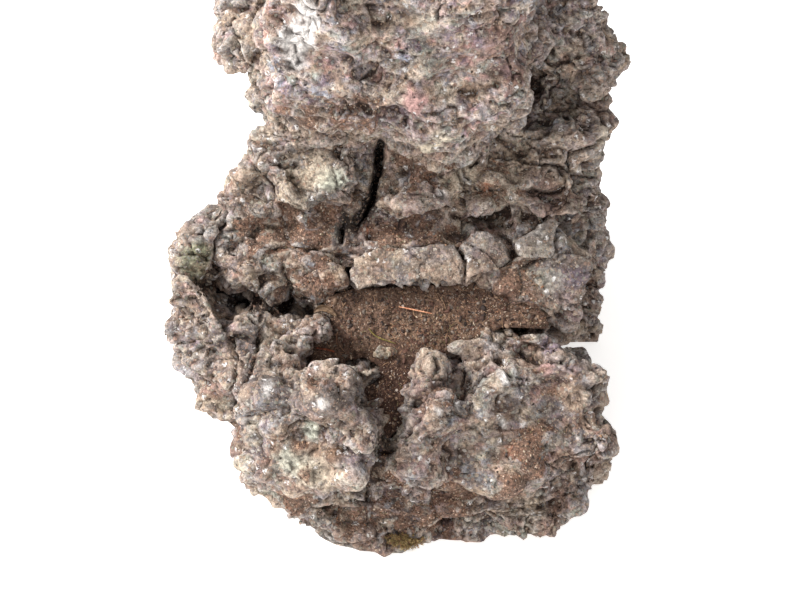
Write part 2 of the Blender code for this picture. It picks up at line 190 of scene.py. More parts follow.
camera_data = bpy.data.cameras.new("camera")
camera_data.sensor_width = SENSOR_WIDTH
camera_data.lens = SENSOR_WIDTH * FOCAL_PIXELS / PICTURE_WIDTH
camera = bpy.data.objects.new("camera", camera_data)
bpy.context.scene.collection.objects.link(camera)
towards_camera = Vector((0.0, -math.cos(LOOK_DOWN), math.sin(LOOK_DOWN)))
camera.location = Vector((0.0, 0.0, BASIN_HEIGHT * MM)) + towards_camera * CAMERA_DISTANCE
camera.rotation_mode = "QUATERNION"
camera.rotation_quaternion = towards_camera.to_track_quat("Z", "Y")
bpy.context.scene.camera = camera
print("lens", round(camera_data.lens, 1), "mm")

# %% [markdown]
# ## The colours of the breccia
#
# A breccia is a rock of broken pieces in a finer ground. This one has a warm grey-brown ground that
# drifts to purple grey and green grey, and pieces in many muted colours. A palette in the script could
# be typed in linear values, but people judge colours by the 0 to 255 scale of a screen, so the tables
# use that and a function turns them linear.

# %% Palette


def linear(red, green, blue):
    """A screen colour from 0 to 255 as linear light: ((c + 0.055) / 1.055) to the power 2.4."""
    return ((np.array((red, green, blue)) / 255.0 + 0.055) / 1.055) ** 2.4


def tones(*colours):
    """Screen colours as the rows of one array of linear light."""
    return np.array([linear(*colour) for colour in colours])


WARM_GROUND, PURPLE_GROUND, GREEN_GROUND = tones((154, 133, 121), (148, 134, 139), (146, 143, 134))
PIECES = tones(
    (164, 158, 157), (96, 87, 86), (144, 126, 136), (132, 138, 126), (182, 156, 130),
    (178, 138, 128), (204, 190, 168), (112, 92, 80), (142, 148, 158), (164, 150, 140),
)
print(len(PIECES), "tones for the pieces of the breccia")

# %% [markdown]
# ## The skin of the stone
#
# The real skin is broken rock: lumps a finger wide, flaky plates with sharp lips, small pieces standing
# out of a softer ground, and grit. It could be painted on with bump alone, but bump gives no broken
# outline and no cast shadows. So the solid's mesh is copied, fused into an even net a little over a
# millimetre wide, softened, moved along its normals by cell noise, and thinned again so that the side
# seen less spends fewer faces.

# %% From a solid to an even net


def merged_copy(node, name):
    """A new object with the surface of a construction node as one closed mesh: its loose triangles are
    joined where their corners meet."""
    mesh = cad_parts[node].data.copy()
    mesh.name = name
    mesh.materials.clear()
    bm = bmesh.new()
    bm.from_mesh(mesh)
    bmesh.ops.remove_doubles(bm, verts=bm.verts, dist=1e-6)
    bm.to_mesh(mesh)
    bm.free()
    obj = bpy.data.objects.new(name, mesh)
    bpy.context.scene.collection.objects.link(obj)
    return obj


def applied(obj):
    """Replaces the object's mesh by what its modifiers make of it."""
    graph = bpy.context.evaluated_depsgraph_get()
    mesh = bpy.data.meshes.new_from_object(obj.evaluated_get(graph))
    mesh.name = obj.name
    obj.modifiers.clear()
    obj.data = mesh
    return obj


def even_net(node, name, pitch, soften_passes):
    """A copy of a node as an even net of squares pitch millimetres wide, its corners rounded by
    averaging."""
    obj = merged_copy(node, name)
    fuse = obj.modifiers.new("fuse", "REMESH")
    fuse.mode = "VOXEL"
    fuse.voxel_size = pitch * MM
    soften = obj.modifiers.new("soften", "SMOOTH")
    soften.factor = 0.5
    soften.iterations = soften_passes
    return applied(obj)


SKIN_PITCH = 1.15
stone = even_net("stone", "stone_skin", SKIN_PITCH, 10)
print("net of", len(stone.data.vertices), "vertices")

# %% Arrays of a mesh


def unit(vectors):
    """Vectors of length one."""
    return vectors / np.maximum(np.linalg.norm(vectors, axis=-1, keepdims=True), 1e-9)


def spread(values, pairs, passes):
    """Values at the vertices, each replaced by the mean of its neighbours' values and its own, passes
    times over."""
    count = len(values)
    ends = np.concatenate((pairs[:, 0], pairs[:, 1]))
    others = np.concatenate((pairs[:, 1], pairs[:, 0]))
    share = 1.0 + np.bincount(ends, minlength=count)
    table = values.reshape(count, -1)
    for _ in range(passes):
        sums = [np.bincount(ends, column[others], count) for column in table.T]
        table = (table + np.stack(sums, 1)) / share[:, None]
    return table.reshape(values.shape)


def corners_of(mesh):
    """Vertex positions in millimetres."""
    points = np.empty(len(mesh.vertices) * 3, np.float32)
    mesh.vertices.foreach_get("co", points)
    return points.reshape(-1, 3) / MM


def read(mesh, passes):
    """Vertex positions in millimetres, vertex normals spread passes times, and the pairs of vertices that
    the edges join, as arrays."""
    normals = np.empty(len(mesh.vertices) * 3, np.float32)
    mesh.vertex_normals.foreach_get("vector", normals)
    pairs = np.empty(len(mesh.edges) * 2, np.int32)
    mesh.edges.foreach_get("vertices", pairs)
    pairs = pairs.reshape(-1, 2)
    return corners_of(mesh), unit(spread(normals.reshape(-1, 3).astype(float), pairs, passes)), pairs


rest, normals, pairs = read(stone.data, 3)
across, upslope, outward = to_slope(rest)
print("the stone reaches", outward.max().round(1), "mm out from the slope")

# %% Fades, and a warp


def fade(value, low, high):
    """0 where value is low or less, 1 where it is high or more, and 3t^2 - 2t^3 between. low may be the
    larger."""
    t = np.clip((value - low) / (high - low), 0.0, 1.0)
    return t * t * (3.0 - 2.0 * t)


WARP_REACH = 3.5
warp = np.stack([smooth_noise(rest, 13.0, seed) for seed in (11, 12, 13)], 1) * WARP_REACH
bent = rest + warp
print("the warp bends the cells by up to", np.abs(warp).max().round(1), "mm")

# %% [markdown]
# ## Broken faces, beds and pieces
#
# Four things make the relief of a breccia: the ground swells softly, the rock breaks in nearly flat
# faces with sharp ridges between them, thin beds end in flaky lips that face down the slope, and hard
# pieces stand out a little with their own colour. One fractal noise would give all sizes at once but no
# edges. Cell noise gives edges, because each cell can have its own slant, level and colour, so the
# pieces use the same cells for the height and for the tint.

# %% Swells and broken faces
BROKEN = ((27.0, 0.5, 0.34, 21), (12.5, 0.6, 0.32, 22), (6.4, 0.8, 0.4, 23), (3.6, 1.0, 0.5, 24))
height = 1.3 * layered_noise(rest, 22.0, 3, 5)
# proud is how far a vertex stands above the mean of the skin around it, so corners get less relief.
proud = ((rest - spread(rest, pairs, 24)) * normals).sum(1)
sticks_out = fade(proud, 0.3, 2.2)
headward = fade(outward, 45.0, 75.0)
for size, tilt, hollow, seed in BROKEN:
    faces = broken_faces(bent, size, tilt, hollow, seed, (1.25, 0.95, 0.75))
    height += faces * (1.0 - 0.4 * sticks_out) * (1.0 - 0.35 * headward)
height -= 0.8 * np.clip(proud - 0.6, 0.0, 4.0)
print("swells and faces move the skin by", height.std().round(2), "mm on the whole")

# %% Thin beds
BED_WAY = unit(np.array((0.16, -0.34, 0.92)))
BEDS = ((9.0, 2.2, 25), (4.2, 1.0, 27))


def patches(points, size, seed, low, high):
    """1 in patches where smooth noise of that size is high or more, 0 where it is low or less."""
    return fade(smooth_noise(points, size, seed), low, high)


for pitch, drop, seed in BEDS:
    wander = 4.0 * smooth_noise(rest, 21.0, seed) + 1.5 * smooth_noise(rest, 7.0, seed + 1)
    level = (rest @ BED_WAY + wander) / pitch
    part = level - np.floor(level)
    flaky = patches(rest, 24.0, seed + 5, -0.3, 0.3) * np.sqrt(1.0 - np.abs(normals @ BED_WAY))
    height += drop * flaky * ((1.0 - part) ** 2 * fade(part, 0.0, 0.13) - 0.3)
print(len(BEDS), "thicknesses of bed")

# %% Hard pieces
HEAD_PALING = np.array((1.3, 1.28, 1.36))
HARD_PIECES = ((16.0, 0.35, 0.8, 61), (9.0, 0.4, 0.6, 62), (5.2, 0.4, 0.4, 63), (3.2, 0.4, 0.3, 64))


def mixed(first, second, share):
    """first where share is 0, second where it is 1, for colours: a + (b - a) * share."""
    return first + (second - first) * share[:, None]


tint = mixed(WARM_GROUND, PURPLE_GROUND, patches(rest, 42.0, 71, -0.1, 0.6) * 0.8)
tint = mixed(tint, GREEN_GROUND, patches(rest, 36.0, 72, 0.0, 0.6) * 0.8)
tint *= (1.0 + 0.2 * layered_noise(rest, 11.0, 3, 73))[:, None]
# The lobes in front are the knobbliest.
knobbly = 0.6 + 1.0 * fade(outward, 8.0, 30.0) * fade(upslope, -30.0, -45.0)
for size, share, rise, seed in HARD_PIECES:
    first, second, tag = cell_noise(bent, size, seed, (1.15, 1.0, 0.85))
    held = (tag[:, 1] < share) * fade(second - first, 0.02, 0.12)
    dome = np.sqrt(np.clip(1.0 - (first / 0.75) ** 2, 0.0, 1.0))
    height += rise * held * (0.75 + 0.25 * dome) * (0.5 + tag[:, 2]) * knobbly
    kind = PIECES[(tag[:, 0] * (len(PIECES) - 1)).astype(int)]
    tint = mixed(tint, kind * (0.8 + 0.4 * tag[:, 2:3]), held * (0.7 + 0.2 * headward))
tint *= (1.0 + 0.25 * smooth_noise(rest, 5.5, 74) + 0.15 * smooth_noise(rest, 2.4, 75))[:, None]
# Far out from the slope, the head's tint is made paler and a little bluer.
tint = mixed(tint, tint * HEAD_PALING, headward)
print("tint mean", tint.mean(0).round(3))

# %% Round pits and long cracks
ROUND_PITS = ((6.5, 1.9, 0.84, 0.5, 0.15, 31), (3.2, 0.9, 0.85, 0.55, 0.2, 32))
for size, depth, rarity, brink, bottom, seed in ROUND_PITS:
    first, _, tag = cell_noise(rest, size, seed)
    height -= depth * (tag[:, 2] > rarity) * fade(first, brink, bottom)
first, second, _ = cell_noise(rest + warp * 1.6, 34.0, 41, (1.3, 1.0, 0.8))
height -= 4.5 * fade(second - first, 0.045, 0.0) * patches(rest, 26.0, 42, -0.05, 0.3)
for size, depth, width, seed in ((13.0, 2.6, 0.07, 43), (6.5, 1.7, 0.11, 45)):
    first, second, _ = cell_noise(bent, size, seed, (1.4, 1.0, 0.7))
    height -= depth * fade(second - first, width, 0.0) * patches(rest, 12.0, seed + 1, 0.0, 0.3)
height += (0.5 * smooth_noise(bent, 4.4, 33) + 0.4 * smooth_noise(bent, 2.5, 34)) * (1.0 - 0.5 * sticks_out)
print("relief so far from", height.min().round(1), "to", height.max().round(1), "mm")

# %% [markdown]
# ## Lips and cracks of this stone
#
# What makes this stone this one is not noise: lips of harder rock run across the ledges with a dark
# undercut below each, and a deep crack splits the face. Their places are given in the leaning frame as
# short lines, and every vertex works out how far it is from them. Painting them on a picture would be
# quicker, but a picture lies on one view only, and these stay right from every side. A lip is its line
# and how far it stands out. A crack is its line, its width and its depth. Near an open crack, which the
# solid already has, the relief is calmed so that it can't close the gap.

# %% Lines of lips and cracks
LIPS = (
    ([(1, 52, 1), (7, 53, 6), (13, 54, 7), (22, 59, 7), (32, 62, 0), (34, 65, 4)], 2.2),
    ([(40, 52, -3), (49, 54, -8), (55, 55, -8), (61, 58, -1), (69, 54, 2), (80, 52, 4), (87, 56, 5)],
     3.4),
    ([(82, 52, 5), (93, 52, 6), (104, 56, 7), (107, 61, 7)], 3.0),
    ([(68, 66, 7), (77, 67, 7), (88, 67, 4), (97, 65, 6), (100, 71, 7)], 2.2),
    ([(-28, 13, -14), (-17, 12.7, 8), (-6, 12.7, 7), (6, 14, 2), (14, 16, 7), (28, 15, 3), (38, 16, 0)],
     2.6),
    ([(38, 16, 0), (49, 18, 8), (61, 26, 6)], 2.6),
    ([(63, 28, 5), (74, 25, 3), (84, 26, 5), (88, 30, 9)], 1.8),
    ([(102.5, 5, 4), (107, 15, 4), (106.4, 20, 4.7), (101, 31, 5)], 1.8),
    ([(68, 3, -1), (83, 0, 0), (94, -1.4, 1), (103, 4.3, 3.7)], 1.6),
    ([(-76, 29, 3), (-67, 34, -2), (-60, 35, -3), (-48, 33, -1), (-40, 32, -2), (-31, 30, -2)], 1.8),
    ([(-110, 15, 5), (-104, 13, 0), (-96, 10, 0), (-83, 10, 7), (-75, 3, -5), (-69, 1, -15)], 2.2),
    ([(-74, 62, 9), (-64, 59, 12), (-51, 57, 4), (-40, 57, -2), (-31, 59, -4), (-27, 66, -3)], 2.4),
    ([(30, -49, 32), (37, -45, 20), (43, -44, 27), (50, -41, 27)], 2.2),
    ([(0, -75, 39), (6, -70, 39), (15, -63, 37), (25, -59, 36)], 1.6),
    ([(0, -89, 39), (13, -93, 35), (28, -94, 24), (41, -91, 23), (55, -94, 23)], 1.8),
    ([(17, -122, 1), (40, -117, 4), (62, -113, 5), (82, -110, 3), (96, -104, 8)], 1.8),
    ([(-29, -75, 45), (-21, -78, 44), (-18, -77, 42), (-9, -73, 30)], 2.4),
    ([(-22, -117, 11), (-28, -110, 12), (-25, -103, 21), (-20, -96, 33)], 1.8),
    ([(-47, -126, 1), (-34, -130, 3), (-23, -135, 3), (-3, -139, 2)], 1.8),
)
CRACKS = (
    ([(-5, -70, 20), (-7, -78, 16), (-11, -88, 14), (-15, -98, 10), (-16, -108, 8)], 5.0, 5.0),
    ([(-33, 54, -5), (-34, 49, -5), (-33, 42, -10), (-34, 36, -10)], 1.4, 4.0),
    ([(-98, 54, 1), (-101, 49, 0), (-102, 42, 1), (-105, 37, 3), (-105, 28, 3), (-103, 18, 4)], 1.3, 5.0),
    ([(51, 92, 3), (44, 81.5, 2), (40, 78, 2)], 1.1, 3.5),
    ([(56, 43, -5), (60, 37, 0), (68, 28, 5)], 1.8, 6.0),
    ([(93, 52, 6), (91, 45, 3), (88.6, 38, 7), (88.3, 29, 9)], 1.8, 6.0),
    ([(36.7, 36.4, 6.4), (41, 33.5, 8), (50.5, 30.6, 11)], 0.9, 2.5),
    ([(35.5, 30, 8.6), (37, 24.4, 10), (34, 20, 8)], 0.9, 2.5),
    ([(114, 96, -5), (103, 90, 3), (96, 86, 3), (95, 81, 3), (102, 75, 6), (102, 71, 7)], 1.4, 5.0),
    ([(66, -24, 4), (79, -32, 8), (90, -31, 18)], 1.3, 4.0),
    ([(100, -30, 18), (105, -33, 18), (111, -38, 17)], 1.1, 3.5),
    ([(112.6, -41.5, 15.6), (111.8, -50.6, 13.3), (108, -55, 15.5)], 1.2, 4.0),
    ([(79, -88, 19.5), (86, -92, 11), (94, -97, 7)], 1.1, 4.0),
    ([(59.7, -81, 21), (60.4, -85, 22)], 1.0, 3.0),
    ([(-66.6, 23, 1), (-63.6, 13, 2.5), (-63, 4, -5), (-64, -1.5, -18)], 2.0, 5.0),
    ([(-77, -14, 17), (-78, -24, 27), (-81, -35, 28), (-84.5, -44, 27)], 1.8, 5.5),
    ([(-101, -1, 16), (-97.5, -6, 22), (-94.3, -14, 23), (-93, -26, 21), (-90, -38, 27), (-94, -49, 22),
      (-93, -58, 18)], 1.8, 5.0),
)
OPEN_CRACKS = (
    ([(-10, 95, 0), (-11, 79, 0), (-16, 62, 0), (-22, 50, 0), (-26, 43, 0)], 6.5),
    ([(-32, 49, 0), (-33, 42, 0), (-35, 38, 0)], 5.0),
)
LINE_DEPTH = 18.0


def from_line(line, x, s, n):
    """For each place, the distance to a line in the x, s plane, how far it lies to the left of the line's
    way, and how well its n agrees with the line's. The distance is the least to the segments, and left is
    the sign of the cross product."""
    least = np.full(len(x), 1e9)
    left = np.zeros(len(x))
    agrees = np.zeros(len(x))
    for (ax, ay, az), (bx, by, bz) in zip(line, line[1:]):
        dx, dy = bx - ax, by - ay
        along = np.clip(((x - ax) * dx + (s - ay) * dy) / (dx * dx + dy * dy), 0.0, 1.0)
        distance = np.hypot(x - ax - along * dx, s - ay - along * dy)
        nearer = distance < least
        least = np.where(nearer, distance, least)
        left = np.where(nearer, np.sign(dx * (s - ay) - dy * (x - ax)), left)
        gap = np.abs(n - az - along * (bz - az))
        agrees = np.where(nearer, fade(gap, LINE_DEPTH, 0.55 * LINE_DEPTH), agrees)
    return least, left, agrees


print(len(LIPS), "lips and", len(CRACKS), "cracks")

# %% Carve the lips and cracks
wander_x = across + 1.3 * smooth_noise(rest, 7.0, 51) + 0.8 * smooth_noise(rest, 3.0, 52)
wander_s = upslope + 1.6 * smooth_noise(rest, 8.0, 53) + 0.9 * smooth_noise(rest, 3.4, 54)
overhang = np.zeros(len(rest))
for line, reach in LIPS:
    distance, left, agrees = from_line(line, wander_x, wander_s, outward)
    # up is how far the vertex lies up the slope from the lip.
    up = distance * left
    lip = agrees * fade(up, -0.4, 0.7) * fade(up, 9.0, 1.5)
    under = agrees * fade(up, 0.4, -1.0) * fade(up, -6.5, -1.8)
    height += reach * (0.6 * lip - under)
    overhang += reach * 0.7 * lip
cut = np.zeros(len(rest))
for line, width, depth in CRACKS:
    distance, _, agrees = from_line(line, wander_x, wander_s, outward)
    cut += 1.5 * agrees * depth * fade(distance, width, 0.3 * width)
height -= cut
print("the cracks cut", (cut > 1.0).sum(), "vertices by more than a millimetre")

# %% Walls of the open cracks
CRACK_BRINK = 24.0
CRACK_END = -62.0
crack_wall = np.zeros(len(rest))
for line, reach in OPEN_CRACKS:
    distance, _, _ = from_line(line, wander_x, wander_s, outward)
    near = fade(distance, reach, 0.6 * reach) * fade(outward, CRACK_BRINK, CRACK_BRINK - 4.0)
    near *= fade(outward, CRACK_END, CRACK_END + 6.0)
    crack_wall = np.maximum(crack_wall, near)
jagged = 0.9 + 0.9 * smooth_noise(rest, 5.0, 57) + 0.6 * smooth_noise(rest, 2.4, 58)
height += (jagged - height) * crack_wall
# Deep in the open cracks the rock is painted almost black further on: painted shade.
crack_shade = crack_wall * fade(outward, 3.0, -7.0)
print("the walls of the open cracks take", (crack_wall > 0.5).sum(), "vertices")

# %% [markdown]
# ## Knobs and pits of this stone
#
# A few knobs and pits are as much this stone's own as its lips are. They could be sculpted by hand, but
# numbers can be read and changed later. Each is a ball: its place, its radius, and how far it lifts or
# sinks the rock. A ball fades at its edge, which noise makes ragged.

# %% Knobs and pits
KNOBS = (
    (99, -14, -80, 13, 3.5), (106, -17, -87, 12, 3.0), (-68, -48, 38, 8, 2.2), (-41, -49, 54, 7, 2.0),
    (-22, -66, 46, 9, 2.6), (-16, -56, 40, 7, 2.0), (2, -92, 20, 7, 3.0), (8, -86, 38, 7, 2.0),
    (36, -48, 30, 7, 1.6), (52, -38, 26, 7, 1.6), (-39, 70, 16, 12, 2.0), (-60, 66, 12, 12, 1.6),
    (70, 41, 6, 9, 1.2), (90, -22, 12, 7, 2.0),
)
PITS = (
    (-40, -12, 17, 9, 5.0), (-46, -6, 16, 8, 4.0), (16, 75, 26, 16, 6.0), (2, 80, 34, 10, 4.0),
    (30, 82, 26, 10, 4.0), (-60, 0, 2, 9, 4.0), (56, -30, 8, 4.0, 5.0), (-61, -56, 43, 4.5, 3.5),
    (-92, -57, 19, 3.0, 3.5), (-30, -70, 48, 1.8, 3.5), (35, 51, -3, 2.4, 4.5), (90, -3, -8, 3.0, 4.5),
    (14, 54, 7, 2.2, 4.0), (61, 57, -2, 2.6, 4.0), (-75, 130, 50, 4.5, 4.0), (-83, 142, 45, 3.5, 3.0),
    (92, 120, 8, 8.0, 4.0), (100, 123, 8, 6.0, 3.0),
)


def inside(centre, radius, rough):
    """1 at the heart of a ball in the leaning frame and 0 outside it: a fade of the distance over the
    radius."""
    x, s, n = centre
    away = np.sqrt((across - x) ** 2 + (upslope - s) ** 2 + (outward - n) ** 2)
    return fade(away / radius + rough, 1.1, 0.6)


ragged = 0.28 * smooth_noise(rest, 4.5, 55) + 0.16 * smooth_noise(rest, 2.2, 56)
for x, s, n, radius, rise in KNOBS:
    height += rise * inside((x, s, n), radius, 0.0)
for x, s, n, radius, depth in PITS:
    height -= depth * inside((x, s, n), radius, ragged)
print(len(KNOBS), "knobs and", len(PITS), "pits")

# %% [markdown]
# ## Dust
#
# Old soil has washed over the flatter places of the real stone and into the gully between the lobes. It
# fills the small hollows, so the relief there is softer. Where it lies is given by balls again, and
# elsewhere by how level the rock is. In a few more balls the rock is only made calmer. The dust could
# be a second mesh laid over the first, but it is thinner than the net is wide, so it is a softening of
# the height and a share that the material reads.

# %% Dusty and calm places
DUST_BALLS = (
    (-62, 47, -4, 20), (-83, 40, 0, 16), (-40, 46, -4, 16), (-26, 95, 70, 18), (-50, 97, 54, 18),
    (14, 44, 0, 14), (-6, 40, 3, 15), (34, 43, 2, 12), (72, -80, 23, 12), (30, -104, 6, 18),
    (-8, -96, 16, 15), (-28, -122, 8, 13), (20, -116, 2, 16), (-6, -116, 4, 16), (-58, -108, 20, 12),
    (74, 2, 2, 10), (56, 72, 5, 14), (10, 84, 8, 18), (-64, 10, 0, 13), (-46, 14, 0, 14), (68, 9, 2, 16),
    (58, -100, 14, 12), (-84, -66, 20, 9), (28, 86, 4, 14), (-12, 66, 0, 9),
)
CALM_BALLS = (
    (8, -80, 38, 13), (30, -76, 27, 14), (45, -72, 27, 12), (22, -66, 33, 10), (96, 28, 7, 14),
    (98, 40, 5, 12), (-80, -28, 26, 12), (-44, 78, 14, 11), (50, -80, 24, 38), (84, -58, 18, 24),
    (-48, -92, 40, 34), (-84, -40, 24, 22), (-20, -100, 30, 20), (60, 20, 4, 26), (20, 116, 90, 30),
    (-30, 120, 92, 26), (2, 30, 5, 20), (26, 30, 8, 20), (48, 34, 8, 16), (92, 18, 6, 20),
    (-66, -84, 36, 26), (-36, -84, 42, 22), (66, -70, 22, 26), (-30, -58, 46, 16), (-50, -54, 48, 16),
    (-64, -54, 36, 14),
)


def covered(share, balls, rough):
    """The greatest of a share and what any of the balls gives."""
    for x, s, n, radius in balls:
        share = np.maximum(share, inside((x, s, n), radius, rough))
    return share


level_ground = fade(normals[:, 2], 0.72, 0.98) * patches(rest, 18.0, 81, -0.2, 0.5) * 0.8
dust = covered(level_ground, DUST_BALLS, 2.0 * ragged)
calm = spread(height, pairs, 14)
calm_broad = spread(calm, pairs, 40)
ease = covered(np.zeros(len(rest)), CALM_BALLS, ragged)
height += (calm_broad - height) * ease * 0.62
height = np.minimum(height, spread(height, pairs, 8) + 1.5)
# Dust settles where the skin lies lower than its calmed self, and fills it.
settle = fade(height - calm, 1.6, -0.2)
dust = np.clip(dust * (0.35 + 0.75 * settle), 0.0, 1.0) * (1.0 - crack_wall)
height += (calm + 0.25 - height) * dust * 0.7 + dust * 0.18 * smooth_noise(rest, 1.7, 82)
print("dust lies on", (100 * (dust > 0.5).mean()).round(1), "per cent")

# %% [markdown]
# ## Flat slabs
#
# The tongue across the middle of the real stone and the wall at its right end are broken into flat
# slabs that parted along clean joints, so they look crisp where the rest is crumbly. A slab could be a
# body of its own pushed into the rock, but then it would need a seam. Here the skin inside an outline
# is drawn onto the plane that fits the outline's corners best, and it drops away just outside it. Each
# slab is its outline, how firmly it holds the skin, and its tone.

# %% Flat slabs
SLABS = (
    (((-27, 26, 3), (-28, 17, 5), (-23, 13, 7), (-11, 12, 9), (1, 12.5, 8), (9.5, 15.5, 7.5),
      (11, 24, 7.5), (5, 31, 7), (-8, 33, 6), (-20, 31, 5)), 0.8, (130, 116, 100)),
    (((9.9, 15.4, 7.5), (11.4, 24, 7.4), (5.4, 31, 7), (16, 36, 6.6), (31, 36, 6.8), (36, 26, 9),
      (36, 17, 7.8), (22.5, 15, 8.4)), 0.8, (124, 110, 98)),
    (((36.6, 17, 7.7), (36.6, 26, 9), (31.8, 36, 7.1), (40, 40, 6.6), (50, 40.5, 6.5), (58, 37, 6.4),
      (63, 28.5, 6.8), (55, 19.8, 9.6)), 0.85, (126, 117, 105)),
    (((68, 20, 5), (78, 24, 5.5), (89, 25, 6), (97, 31, 4.6), (105, 24, 4.5), (106.5, 13, 4),
      (102, 3.5, 4), (95, -1, 1), (84, 1, 1), (70, 5, 1)), 0.7, (106, 98, 91)),
    (((64, 36, 4), (72, 42.8, 4.3), (86, 50, 5.5), (91, 47, 4.5), (91.5, 41, 4), (87, 35.7, 7),
      (86, 28.5, 8), (72, 27, 6), (65, 29, 6.5)), 0.75, (150, 140, 130)),
    (((32, 77, 3), (45, 83, 2.5), (68, 82.5, 3.6), (90, 78, 3), (93, 71, 6), (82, 66, 8), (62, 68, 6.8),
      (45, 67, 5.9), (34, 70, 5)), 0.6, (156, 142, 130)),
    (((-65.7, 86, 10.9), (-56, 89, 8.8), (-39, 87, 11), (-31, 78.5, 14), (-28.5, 70, 16), (-34, 64, 12),
      (-46, 62, 10), (-61, 66, 11.7), (-67, 76, 10.4)), 0.6, (166, 158, 142)),
    (((-93, -9, 12), (-85, -2, 2), (-79, -5, 3), (-77.6, -14, 17), (-80, -25, 26), (-86, -33, 27),
      (-91, -24.6, 22)), 0.6, (118, 110, 110)),
)
JOINT_DEPTH = 2.6


def within(outline, x, s):
    """True inside a closed outline: a level line from the place to the right crosses it an odd number of
    times."""
    odd = np.zeros(len(x), bool)
    for (ax, ay, _), (bx, by, _) in zip(outline, outline[1:] + outline[:1]):
        meets = ax + (s - ay) * (bx - ax) / ((by - ay) or 1e-9)
        odd ^= ((ay > s) != (by > s)) & (x < meets)
    return odd


def plane_rise(outline):
    """How far the plane n = a x + b s + c, fitted to the outline's corners by least squares, lies above
    the skin."""
    corners = np.array(outline, float)
    terms = np.column_stack((corners[:, :2], np.ones(len(corners))))
    slope_x, slope_s, start = np.linalg.lstsq(terms, corners[:, 2], rcond=None)[0]
    return slope_x * across + slope_s * upslope + start - outward


towards = normals @ OUTWARD
slab = np.zeros(len(rest))
joint = np.zeros(len(rest))
patchy = 0.75 + 0.4 * smooth_noise(rest, 9.0, 92)
cloudy = (1.0 + 0.25 * smooth_noise(rest, 5.0, 91))[:, None]
for outline, share, tone in SLABS:
    rise = plane_rise(outline)
    near = fade(np.abs(rise), 8.0, 5.0) * fade(towards, 0.0, 0.3) * share
    distance = from_line(outline + outline[:1], wander_x, wander_s, outward)[0]
    here = within(outline, wander_x, wander_s)
    held = here * fade(distance, 0.0, 0.9) * near
    # The flat height is the plane with half of the fine relief left on it.
    flat = np.clip(rise / np.clip(towards, 0.5, 1.0), -4.0, 4.0) + 0.8 + 0.5 * (height + cut - calm)
    height += (flat - cut - height) * held
    tint = mixed(tint, linear(*tone) * cloudy, patchy * held)
    slab = np.maximum(slab, held)
    joint = np.maximum(joint, ~here * fade(distance, 2.2, 0.4) * near)
joint *= 1.0 - slab
height -= JOINT_DEPTH * joint
dust *= (1.0 - 0.6 * slab) * (1.0 - joint)
print(len(SLABS), "slabs hold", (slab > 0.4).sum(), "vertices")

# %% [markdown]
# ## Wear, stains, soil and painted shade in the crevices
#
# Once the skin has moved, its own hollows and edges say where soil stays and where the rock is rubbed
# pale. The same hollows are also painted darker as shade, and the raised edges paler as highlight. A
# shader could find them while it renders, but what it finds is lost when a model leaves Blender, so they
# are worked out here from how far each vertex lies below or above the mean of its neighbours, near and
# far, and they are kept in the tint. The patches that are white, pink, green, rusty or dark are balls
# again, each with a colour and a strength, and the dark ones are painted shade. A mark that is clean
# gets fewer chips from the finish later on.

# %% Move the skin
FOOT_RISE = 5.0
foot = fade(rest[:, 2], 0.0, FOOT_RISE)
skin = rest + normals * (height * foot)[:, None] - (overhang * foot)[:, None] * UPSLOPE
skin[:, 2] = np.maximum(skin[:, 2], 0.0)
near_mean = spread(skin, pairs, 2)
broad_mean = spread(near_mean, pairs, 14)
valley_mean = spread(broad_mean, pairs, 80)
fine_hollow, broad_hollow, valley = [
    ((mean - skin) * normals).sum(1) for mean in (near_mean, broad_mean, valley_mean)
]
print("moved", height.min().round(1), "to", height.max().round(1), "mm")

# %% Wear, stains, painted highlight and painted shade
EDGE_GREY, STAIN_BROWN, BUFF, SOIL_AND_SHADE_BROWN = tones(
    (202, 195, 190), (132, 98, 80), (186, 164, 142), (112, 82, 67)
)
# Raised edges are painted paler and greyer: partly rubbed wear and partly painted highlight.
wear_and_highlight = fade(fine_hollow, -0.08, -0.4) * 0.35 + fade(broad_hollow, -0.8, -2.6) * 0.2
tint = mixed(tint, EDGE_GREY, np.clip(wear_and_highlight, 0.0, 0.5) * (1.0 - dust))
stain = fade(smooth_noise(rest, 15.0, 84) + 0.4 * smooth_noise(rest, 5.0, 85), 0.05, 0.5)
tint = mixed(tint, STAIN_BROWN, stain * (0.35 + 0.3 * fade(upslope, -30.0, -60.0)))
buff = fade(smooth_noise(rest, 10.0, 86) + 0.3 * smooth_noise(rest, 3.5, 87), 0.15, 0.5)
tint = mixed(tint, BUFF, 0.5 * buff)
# Broad hollows and valleys are painted browner: partly washed-in soil and partly painted shade.
hollow_share = 0.5 * fade(broad_hollow, 0.2, 1.8) + 0.5 * fade(valley, 1.0, 5.0)
hollow_soil_and_shade = (1.0 - 0.5 * slab) * np.clip(hollow_share, 0.0, 0.8)
tint = mixed(tint, SOIL_AND_SHADE_BROWN, hollow_soil_and_shade * np.clip(0.8 + 1.1 * smooth_noise(rest, 9.0, 83), 0.0, 1.2))
print("worn on", (100 * (wear_and_highlight > 0.2).mean()).round(1), "per cent")

